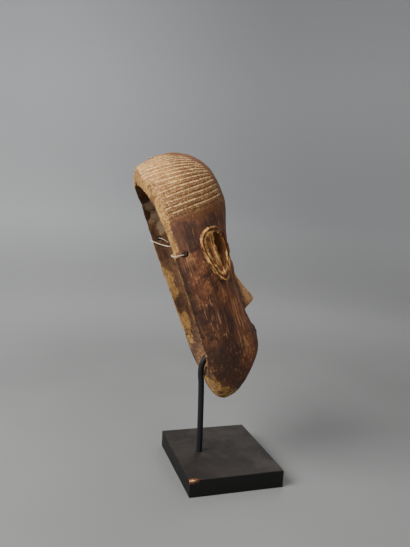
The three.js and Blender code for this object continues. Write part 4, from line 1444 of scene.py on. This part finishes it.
# Near black: painted shade in the hollow and the tie holes, and the dark lines of the grain.
SHADE_AND_GRAIN_BLACK = (0.003, 0.002, 0.0015)
BARE = (0.47, 0.27, 0.082)
BARE_DARK = (0.27, 0.125, 0.038)


def lining_colour(recipe, marks):
    """Brown wood, with tan adze marks low down and greyish ones in the dome, and painted shade, near black,
    deep inside and in the tie holes.
    """
    scoops = recipe.times(recipe.maths("SUBTRACT", marks["blotch"], 0.5), 1.1)
    cloudy = recipe.total((marks["mottle"], 1.0), (marks["blotch"], 0.6), (marks["streak"], 0.6), less=0.6)
    colour = recipe.mix(recipe.between(cloudy, 0.25, 0.85), LINING_DARK, LINING_BROWN)
    grey = recipe.between(recipe.maths("ADD", marks["grey"], scoops), 0.4, 0.75)
    colour = recipe.mix(grey, colour, LINING_GREY)
    tan = recipe.mix(recipe.between(marks["fleck"], 0.3, 0.62), LINING_LOW, LINING_TAN)
    tan = recipe.mix(recipe.between(marks["streak"], 0.5, 0.62, 0, 0.5), tan, LINING_LOW)
    tan = recipe.mix(recipe.between(marks["speck"], 0.34, 0.44, 0.75, 0), tan, LINING_DARK)
    adzed = recipe.total((marks["tan"], 1.0), (marks["streak"], 1.2), (marks["fleck"], 0.5), less=0.85)
    colour = recipe.mix(recipe.between(adzed, 0.35, 0.6), colour, tan)
    # Painted shade, near black, deep in the hollow and in the tie holes.
    return recipe.mix(marks["unlit"], colour, SHADE_AND_GRAIN_BLACK)


def bare_colour(recipe, marks):
    """Wood whose skin is gone, with brown specks and streaks left in it."""
    worn_wood = recipe.total((marks["fleck"], 0.7), (marks["blotch"], 0.9), less=0.32)
    colour = recipe.mix(recipe.between(worn_wood, 0.28, 0.56), BARE_DARK, BARE)
    colour = recipe.mix(recipe.between(marks["speck"], 0.32, 0.45, 0.75, 0), colour, BROWN_SKIN)
    return recipe.mix(recipe.between(marks["streak"], 0.38, 0.48, 0.8, 0), colour, BROWN_SKIN)


print("hollow, from dark to light:", LINING_DARK, LINING_BROWN, LINING_GREY, "and bare wood:", BARE)


# %% Lay the layers of the wood
RIM_DARK = (0.05, 0.022, 0.01)
STRAND_LENGTH = 60.0


def wood_marks(recipe):
    """All the numbers that the layers use: what the mesh carries, and noises from coarse to fine."""
    where = recipe.place(MASK_PLACE)
    marks = {name: recipe.carried(name) for name in ("ear_rim", "back_rim", "strand")}
    for name, keys in (
        ("place", ("bare", "hair", "inside")),
        ("tone", ("dome", "red", "dark")),
        ("ear_parts", ("ears", "crest", "valley")),
        ("lining", ("tan", "grey", "unlit")),
        ("worn", ("rubbed", "scratch", "pale")),
    ):
        marks.update(zip(keys, recipe.painted(name)))
    along = recipe.node("ShaderNodeCombineXYZ")
    recipe.feed(along.inputs["X"], marks["strand"])
    recipe.feed(along.inputs["Y"], recipe.times(recipe.axes(where)[1], STRAND_LENGTH))
    strands = along.outputs["Vector"]
    marks["mottle"] = recipe.noise(where, 0.018, 5, 0.6, 0.4)
    marks["blotch"] = recipe.noise(where, 0.006, 5, 0.65, 0.3)
    marks["fleck"] = recipe.noise(where, 0.0032, 4, 0.62)
    marks["speck"] = recipe.noise(where, 0.0015, 3, 0.6)
    marks["grain"] = recipe.noise(recipe.stretched(where, (1, 1, 0.06)), 0.0012, 4, 0.6)
    marks["streak"] = recipe.noise(recipe.stretched(where, (1, 1, 0.05), (3, 0, 0)), 0.0042, 4, 0.6)
    marks["thin_streak"] = recipe.noise(recipe.stretched(where, (1, 1, 0.07), (7, 0, 0)), 0.0017, 3, 0.5)
    marks["streaky"] = recipe.between(recipe.noise(where, 0.03, 2), 0.4, 0.58)
    marks["strands"] = recipe.noise(strands, 1.3, 5, 0.7)
    marks["gaps"] = recipe.noise(strands, 3.4, 2, 0.5)
    return marks


def carved_wood():
    recipe = Finish("carved_wood", specular=0.22)
    marks = wood_marks(recipe)

    colour = skin_colour(recipe, marks)
    handled = recipe.times(marks["rubbed"], recipe.between(marks["blotch"], 0.3, 0.6, 0.45, 1.0))
    colour = recipe.mix(handled, colour, TAN_FLECK)
    colour = recipe.mix(recipe.times(marks["scratch"], 0.7), colour, TAN_FLECK)
    covered = recipe.total((marks["dome"], 1.0), (marks["mottle"], 0.9), (marks["fleck"], 0.5), less=0.7)
    colour = recipe.mix(recipe.between(covered, 0.3, 0.85), colour, dome_colour(recipe, marks))
    colour = recipe.mix(recipe.between(marks["ears"], 0.35, 0.65), colour, ear_colour(recipe, marks))
    colour = recipe.mix(recipe.between(marks["back_rim"], 0.2, 0.7, 0, 0.85), colour, RIM_DARK)
    colour = recipe.mix(recipe.between(marks["inside"], 0.35, 0.65), colour, lining_colour(recipe, marks))
    ragged = recipe.times(recipe.maths("SUBTRACT", marks["fleck"], 0.5), 1.3)
    bare = recipe.between(recipe.maths("ADD", marks["bare"], ragged), 0.35, 0.65)
    colour = recipe.mix(bare, colour, bare_colour(recipe, marks))
    colour = recipe.mix(recipe.between(marks["grain"], 0.34, 0.6, 0.3, 0), colour, SHADE_AND_GRAIN_BLACK)

    dull = recipe.between(marks["mottle"], 0.3, 0.7, 0.58, 0.78)
    rough = recipe.maths("ADD", dull, recipe.times(marks["unlit"], 0.3))
    normal = None
    for name, height, strength in (
        ("grain", 0.0005, 0.55),
        ("strands", 0.0006, recipe.times(marks["dome"], 0.6)),
        ("blotch", 0.0014, 0.3),
        ("speck", 0.0004, 0.45),
        ("thin_streak", 0.0016, recipe.times(marks["ears"], 0.8)),
    ):
        normal = recipe.bump(marks[name], height, strength, normal)
    return recipe.finish(colour, rough, normal)


wood = carved_wood()
print("nodes in the finish of the wood:", len(wood.node_tree.nodes))


# %% Dress the carving
def dress(piece, finish, slot, *nodes):
    """One finish on a piece; the measured parts that it replaces are hidden and it hangs on the body. The
    slot is not used.
    """
    piece.data.materials.clear()
    piece.data.materials.append(finish)
    piece.data.polygons.foreach_set("material_index", [0] * len(piece.data.polygons))
    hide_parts(*nodes)
    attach(piece, BODY)
    return piece


smooth_shading(mask.data)
set_in_place(mask)
dress(mask, wood, "carved_wood", "mask")
print("the carving has", sum(len(p.vertices) - 2 for p in mask.data.polygons), "triangles")

# %% [markdown]
# ## The tie thread
# A thin cream thread still runs through the two holes at the temples and across the open back. It
# is a strand of three yarns. Geometry Nodes twist it: the route becomes a curve, its tilt
# grows along its length, and three small circles side by side are swept along it, so the yarns wind
# round each other like a real cord.

# %% Route of the thread
THREAD_ROUTE = (
    # x, depth, height in the mask's frame
    (53, 19, 160), (55, 15, 165), (60, 12.2, 167.2), (68.2, 9, 167.2), (70.2, 8, 167.5),
    (69.9, 6.4, 167.8), (66.9, 3.2, 168.1), (62.5, 0.8, 168.3), (40, 0.3, 168.8), (0, 0.3, 169.9),
    (-40, 0.6, 171.2), (-57, 1.6, 171.8), (-60, 5.5, 170.2), (-60.6, 7.2, 166.5), (-60.8, 5.5, 163.4),
    (-61, 2.6, 162.8), (-61.4, 0.8, 162.7), (-62.5, 0.4, 162.6), (-66.2, 0.4, 162.4), (-68.7, 0.9, 162),
    (-69.9, 2.8, 161.7), (-70.4, 5.5, 161.4), (-70.4, 9, 160.9), (-69.6, 10.9, 160.5), (-67, 11.6, 160),
    (-58, 12.6, 159.6), (-54.5, 15, 156.5),
)
THREAD_STEP = 0.6


def route_slopes(a, b, c, d):
    """Slopes that allow for stretches of unequal length, so the route doesn't swing out at its bends."""
    reach = np.linalg.norm(c - b)
    slope_b = (c - a) * reach / (np.linalg.norm(b - a) + reach)
    slope_c = (d - b) * reach / (np.linalg.norm(d - c) + reach)
    return slope_b, slope_c


def smooth_route(points, step, samples=16):
    """Points at even steps along a smooth curve through a route, and its length."""
    p = np.array(points, float)
    ends = np.concatenate([2 * p[:1] - p[1:2], p, 2 * p[-1:] - p[-2:-1]])
    line = smooth_line(p, ends, route_slopes, samples)
    along = np.concatenate([[0], np.cumsum(np.linalg.norm(np.diff(line, axis=0), axis=1))])
    places = np.linspace(0, along[-1], max(2, int(along[-1] / step)))
    return np.stack([np.interp(places, along, line[:, k]) for k in range(3)], axis=1), along[-1]


thread_route, thread_length = smooth_route([in_mask(*p) for p in THREAD_ROUTE], THREAD_STEP)
print("the thread is", round(thread_length), "mm long")


# %% Twist the thread
YARNS = 3
YARN_SIDES = 7
THREAD_PALE = (0.86, 0.79, 0.66)
THREAD_DARK = (0.5, 0.42, 0.3)
THREAD_DIRT = (0.3, 0.22, 0.14)


def line_in(tree):
    return tree.node("GeometryNodeMeshToCurve", {"Mesh": tree.value("Geometry")}).outputs[0]


def circle_in(tree, points, radius):
    values = {"Resolution": points, "Radius": radius}
    return tree.node("GeometryNodeCurvePrimitiveCircle", values).outputs[0]


def sweep(tree, line, section, material):
    """The end of a tree that sweeps a section along a line."""
    values = {"Curve": line, "Profile Curve": section, "Fill Caps": True}
    tree.close(tree.node("GeometryNodeCurveToMesh", values).outputs[0], material)
    return tree


def thread_tree(material):
    tree = Tree("twisted_thread", yarn_radius=0.23, yarn_offset=0.21, lay_length=2.2)
    line = line_in(tree)
    along = tree.node("GeometryNodeSplineParameter").outputs["Length"]
    tilt = tree.times(tree.maths("DIVIDE", along, tree.value("lay_length")), 2 * math.pi)
    wound = tree.node("GeometryNodeSetCurveTilt", {"Curve": line, "Tilt": tilt}).outputs[0]
    yarn = circle_in(tree, YARN_SIDES, tree.value("yarn_radius"))
    ring = tree.node("GeometryNodeMeshCircle", {"Vertices": YARNS, "Radius": tree.value("yarn_offset")})
    placed = tree.node("GeometryNodeInstanceOnPoints", {"Points": ring.outputs[0], "Instance": yarn})
    section = tree.node("GeometryNodeRealizeInstances", {"Geometry": placed.outputs[0]}).outputs[0]
    return sweep(tree, wound, section, material)


def swept_piece(name, route, tree):
    """A row of points that a tree turns into a closed, smooth form."""
    mesh = bpy.data.meshes.new(name)
    mesh.from_pydata([tuple(p) for p in route], [(i, i + 1) for i in range(len(route) - 1)], [])
    piece = piece_of(name, mesh)
    tree.apply_to(piece)
    face_outwards(piece.data)
    smooth_shading(piece.data)
    return piece


def thread_finish():
    recipe = Finish("thread", roughness=0.85, specular=0.3)
    where = recipe.place(MASK_PLACE)
    fibre = recipe.noise(where, 0.0005, 3)
    dirt = recipe.noise(where, 0.012, 3)
    colour = recipe.mix(recipe.between(fibre, 0.3, 0.7), THREAD_DARK, THREAD_PALE)
    colour = recipe.mix(recipe.between(dirt, 0.55, 0.75, 0, 0.5), colour, THREAD_DIRT)
    return recipe.finish(colour, None, recipe.bump(fibre, 0.0002, 0.6))


def make_thread():
    finish = thread_finish()
    piece = swept_piece("tie_thread", thread_route, thread_tree(finish))
    set_in_place(piece)
    return dress(piece, finish, "thread", "tie_string")


print("the twisted thread has", len(make_thread().data.polygons), "faces")

# %% [markdown]
# ## The rod
# The rod is a bent round bar with a thin coat of satin black. In the measured model it has flat
# facets, so here the same centre line is swept with a finer circle. The finish is nearly plain: a
# little unevenness in the gloss and a few rubbed spots are what tell paint on steel from plastic.

# %% Sweep the rod
ROD_ROUTE = (
    # behind the middle, height
    (25, 8.4), (25.3, 40), (26, 75), (27, 105), (28.1, 115.5), (26.9, 127.5), (20.4, 138), (14, 149.5),
    (9.7, 167), (9.5, 190), (14, 216), (21.6, 240), (26.6, 262), (29.4, 284), (32.2, 299),
)
ROD_STEP = 3.0
ROD_SIDES = 32
ROD_COAT = 0.25
STEEL_BLACK = (0.0115, 0.0115, 0.013)
STEEL_RUBBED = (0.05, 0.045, 0.042)


def rod_tree(material):
    low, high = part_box("stand_rod")
    tree = Tree("round_rod", radius=(high.x - low.x) / 2 + ROD_COAT * MM)
    return sweep(tree, line_in(tree), circle_in(tree, ROD_SIDES, tree.value("radius")), material)


def rod_finish():
    recipe = Finish("black_steel", specular=0.2)
    where = recipe.place()
    cloud = recipe.noise(where, 0.02, 4)
    fleck = recipe.noise(where, 0.0018, 4, 0.7)
    colour = recipe.mix(recipe.between(fleck, 0.66, 0.76), STEEL_BLACK, STEEL_RUBBED)
    rough = recipe.between(cloud, 0.3, 0.7, 0.4, 0.58)
    return recipe.finish(colour, rough, recipe.bump(fleck, 0.0002, 0.25))


def make_rod():
    route, length = smooth_route([(0, behind, height) for behind, height in ROD_ROUTE], ROD_STEP)
    finish = rod_finish()
    piece = swept_piece("bent_rod", route * MM, rod_tree(finish))
    dress(piece, finish, "black_steel", "stand_rod")
    return length


print("the rod is", round(make_rod()), "mm long")

# %% [markdown]
# ## The plinth
# The plinth is a plain block of wood stained black, with softened edges, a socket for the rod and
# one corner knocked off. Its top is worn to a brown-grey with soft scuffs. A cube gets the measured
# size and rounded edges. The socket and two broken corners, one of them tiny, are then cut with
# the same step that carved the mask, and the splinters are cut with a rough ball.

# %% Shape the plinth
PLINTH_EDGE = {"offset": 0.9, "segments": 3, "profile": 0.6}
CHIPS = (
    # corner of the top as seen from above, size across, along and down
    ((-1, 1), (2.8, 9, 1.3)),
    ((-1, -1), (1.4, 2, 0.7)),
)
TORN = {"amount": 0.22, "waves": 1.9, "depth": 4}
SOCKET_RADIUS = 3.6
SOCKET_DEPTH = 12
SOCKET_SIDES = 32
SOCKET_PROUD = 5


def piece_of_form(name, form, material):
    mesh = bpy.data.meshes.new(name)
    form.to_mesh(mesh)
    form.free()
    mesh.materials.append(material)
    return piece_of(name, mesh)


def plinth_block():
    low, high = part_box("plinth")
    size = (high - low) / MM
    form = bmesh.new()
    bmesh.ops.create_cube(form, size=1)
    bmesh.ops.scale(form, vec=size, verts=form.verts)
    bmesh.ops.translate(form, vec=(0, 0, size.z / 2), verts=form.verts)
    bmesh.ops.bevel(form, geom=form.edges, affect="EDGES", **PLINTH_EDGE)
    return piece_of_form("wood_plinth", form, tag("stain")), size


def chip_form(corner, across, along, deep):
    """A rough splinter: a stretched ball with torn sides, set on a corner of the top."""
    form = bmesh.new()
    bmesh.ops.create_icosphere(form, subdivisions=4, radius=1)
    for v in form.verts:
        wave = noise.fractal(v.co * TORN["waves"] + corner, 1.0, 2.0, TORN["depth"])
        torn = 1 + TORN["amount"] * wave
        v.co = Vector((v.co.x * across, v.co.y * along, v.co.z * deep)) * torn + corner
    return piece_of_form("chip", form, tag("broken"))


def socket_form(top):
    turn = 2 * math.pi * np.arange(SOCKET_SIDES) / SOCKET_SIDES
    circle = np.stack([SOCKET_RADIUS * np.cos(turn), ROD_BEHIND + SOCKET_RADIUS * np.sin(turn)], axis=1)
    levels = (top - SOCKET_DEPTH, top + SOCKET_PROUD)
    rings = [np.column_stack([circle, np.full(SOCKET_SIDES, z)]) for z in levels]
    first, last = ((0, ROD_BEHIND, z) for z in levels)
    return closed_form("socket", rings, first, last, tag("stain"))


def mark_broken(mesh):
    """A number on each face: 1 where the splinter broke off, 0 elsewhere."""
    names = [m.name for m in mesh.materials]
    keep_numbers(mesh, "broken", [names[p.material_index] == "broken" for p in mesh.polygons], "FACE")


plinth, plinth_size = plinth_block()
carve(plinth, socket_form(plinth_size.z))
for (to_x, to_y), chip in CHIPS:
    corner = Vector((to_x * plinth_size.x / 2, to_y * plinth_size.y / 2, plinth_size.z))
    carve(plinth, chip_form(corner, *chip))
mark_broken(plinth.data)
print("plinth size in mm:", tuple(round(v, 1) for v in plinth_size))


# %% Finish of the plinth
CHIPPED_CORNER = (-0.065, 0.055, 0.02)
CHIP_DRAWN_OUT = (1, 0.4, 1)
CHIP_REACH = 0.004
WORN_TOP = (0.0185, 0.0197)
PLINTH_SHARP = 35
SIDE_STAIN = (0.006, 0.0055, 0.005)
SIDE_FLECK = (0.02, 0.016, 0.014)
TOP_DARK = (0.016, 0.0125, 0.0105)
TOP_WORN = (0.027, 0.02, 0.0155)
TOP_GRAIN = (0.009, 0.007, 0.006)
CHIP_RUBBED = (0.16, 0.06, 0.024)
CHIP_BROWN = (0.17, 0.055, 0.018)
CHIP_WOOD = (0.76, 0.48, 0.22)


def stained_wood():
    recipe = Finish("black_wood", specular=0.25)
    where = recipe.place()
    cloud = recipe.noise(where, 0.03, 5, 0.6, 0.5)
    grain = recipe.noise(recipe.stretched(where, (1, 0.06, 1)), 0.0016, 4, 0.6)
    fleck = recipe.noise(where, 0.0014, 3, 0.6)
    side = recipe.mix(recipe.between(fleck, 0.6, 0.75, 0, 0.6), SIDE_STAIN, SIDE_FLECK)
    top = recipe.mix(recipe.between(cloud, 0.35, 0.68), TOP_DARK, TOP_WORN)
    top = recipe.mix(recipe.between(grain, 0.46, 0.66, 0, 0.5), top, TOP_GRAIN)
    colour = recipe.mix(recipe.between(recipe.axes(where)[2], *WORN_TOP), side, top)

    to_corner = tuple(-place * scale for place, scale in zip(CHIPPED_CORNER, CHIP_DRAWN_OUT))
    from_corner = recipe.distance(recipe.stretched(where, CHIP_DRAWN_OUT, to_corner))
    near = recipe.total((from_corner, -1 / CHIP_REACH), (fleck, 2.0), less=-0.4)
    colour = recipe.mix(recipe.between(near, 0.2, 0.6, 0, 0.95), colour, CHIP_RUBBED)
    palest = recipe.total((from_corner, -1 / CHIP_REACH), (fleck, 2.4), less=0.3)
    wood = recipe.mix(recipe.between(palest, 0.2, 0.5), CHIP_BROWN, CHIP_WOOD)
    ragged = recipe.total((recipe.carried("broken"), 1.0), (fleck, 1.2), less=0.6)
    colour = recipe.mix(recipe.between(ragged, 0.7, 1.0), colour, wood)
    rough = recipe.between(cloud, 0.3, 0.7, 0.72, 0.55)
    normal = recipe.bump(grain, 0.0003, 0.4)
    return recipe.finish(colour, rough, recipe.bump(fleck, 0.0003, 0.3, normal))


plinth.data.transform(Matrix.Scale(MM, 4))
smooth_shading(plinth.data, PLINTH_SHARP)
dress(plinth, stained_wood(), "black_wood", "plinth")
print("the plinth has", len(plinth.data.polygons), "faces")

# %% [markdown]
# ## Floor and light
# The picture was taken on a grey paper sweep under soft light. The strongest light comes from the
# upper left and falls into the open back. Three weaker ones, from the camera's side, from beyond
# the mask and from above, keep the shadows open. All are large, so the shadow beside the plinth is
# soft. A round bowl does the job of the paper from every side: flat where the object stands and
# rising gently beyond.

# %% Lay the paper
FLOOR_MIDDLE = 0.4
FLOOR_RADIUS = 1.2
BOWL_RISE = 1.6
BOWL_RADIUS = 2.4
BOWL_STEPS = 20
BOWL_SIDES = 96
PAPER_DARK = (0.208, 0.208, 0.204)
PAPER_PALE = (0.236, 0.236, 0.232)
PAPER_FAR = (0.42, 0.42, 0.418)
WALL_LOW = (0.6, 0.605, 0.61)
WALL_HIGH = (0.78, 0.79, 0.8)
UNLIT_PAPER = (0, 0, 0)


def paper():
    """Grey paper, with painted light: paler far away and on the wall, and painted shade towards the side
    away from the light.
    """
    recipe = Finish("paper", roughness=0.9, specular=0.2)
    where = recipe.place()
    cloud = recipe.noise(where, 0.5, 3)
    _, across, height = recipe.axes(where)
    colour = recipe.mix(recipe.between(cloud, 0.3, 0.7), PAPER_DARK, PAPER_PALE)
    # Painted light: the paper is paler far away and on the wall.
    colour = recipe.mix(recipe.between(recipe.distance(where), 0.4, 1.3), colour, PAPER_FAR)
    colour = recipe.mix(recipe.between(height, 0.0, 0.25), colour, WALL_LOW)
    colour = recipe.mix(recipe.between(height, 0.25, 1.0), colour, WALL_HIGH)
    # Painted shade on the side away from the light.
    colour = recipe.mix(recipe.between(across, -1.1, 0.25, 0.42, 0), colour, UNLIT_PAPER)
    return recipe.finish(colour)


def make_floor():
    profile = [(FLOOR_MIDDLE, 0.0), (FLOOR_RADIUS, 0.0)]
    for i in range(1, BOWL_STEPS + 1):
        turn = (math.pi / 2) * i / BOWL_STEPS
        out = FLOOR_RADIUS + (BOWL_RADIUS - FLOOR_RADIUS) * math.sin(turn)
        profile.append((out, BOWL_RISE * (1 - math.cos(turn))))
    points = [(0, 0, 0)]
    for radius, height in profile:
        for k in range(BOWL_SIDES):
            turn = 2 * math.pi * k / BOWL_SIDES
            points.append((radius * math.cos(turn), radius * math.sin(turn), height))
    faces = [(0, 1 + k, 1 + (k + 1) % BOWL_SIDES) for k in range(BOWL_SIDES)]
    for row in range(len(profile) - 1):
        low = 1 + row * BOWL_SIDES
        for k in range(BOWL_SIDES):
            after = (k + 1) % BOWL_SIDES
            faces.append((low + k, low + BOWL_SIDES + k, low + BOWL_SIDES + after, low + after))
    floor = new_piece("floor", points, faces, paper())
    floor.data.polygons.foreach_set("use_smooth", [True] * len(faces))
    return floor


make_floor()
print("the paper reaches", BOWL_RADIUS, "m out and", BOWL_RISE, "m up")


# %% Set the lights
LIT_PLACE = Vector((0, 0.02, 0.18))
LIGHTS = (
    # name, place, size, power
    ("key", (-0.35, 1.15, 1.1), 1.0, 40),
    ("fill", (-1.3, -0.5, 0.8), 1.2, 4),
    ("back", (0.9, -0.7, 1.1), 0.8, 6),
    ("above", (0.1, 0.0, 1.7), 1.6, 8),
)
ROOM_COLOUR = (0.8, 0.82, 0.85, 1)
ROOM_STRENGTH = 0.2


def soft_light(name, place, size, power):
    data = bpy.data.lights.new(name, "AREA")
    data.shape = "DISK"
    data.size = size
    data.energy = power
    light = bpy.data.objects.new(name, data)
    light.location = place
    light.rotation_mode = "QUATERNION"
    light.rotation_quaternion = (LIT_PLACE - Vector(place)).to_track_quat("-Z", "Y")
    bpy.context.scene.collection.objects.link(light)


for light in LIGHTS:
    soft_light(*light)

world = bpy.data.worlds.new("studio")
world.use_nodes = True
background = world.node_tree.nodes["Background"].inputs
background["Color"].default_value = ROOM_COLOUR
background["Strength"].default_value = ROOM_STRENGTH
bpy.context.scene.world = world

# %% [markdown]
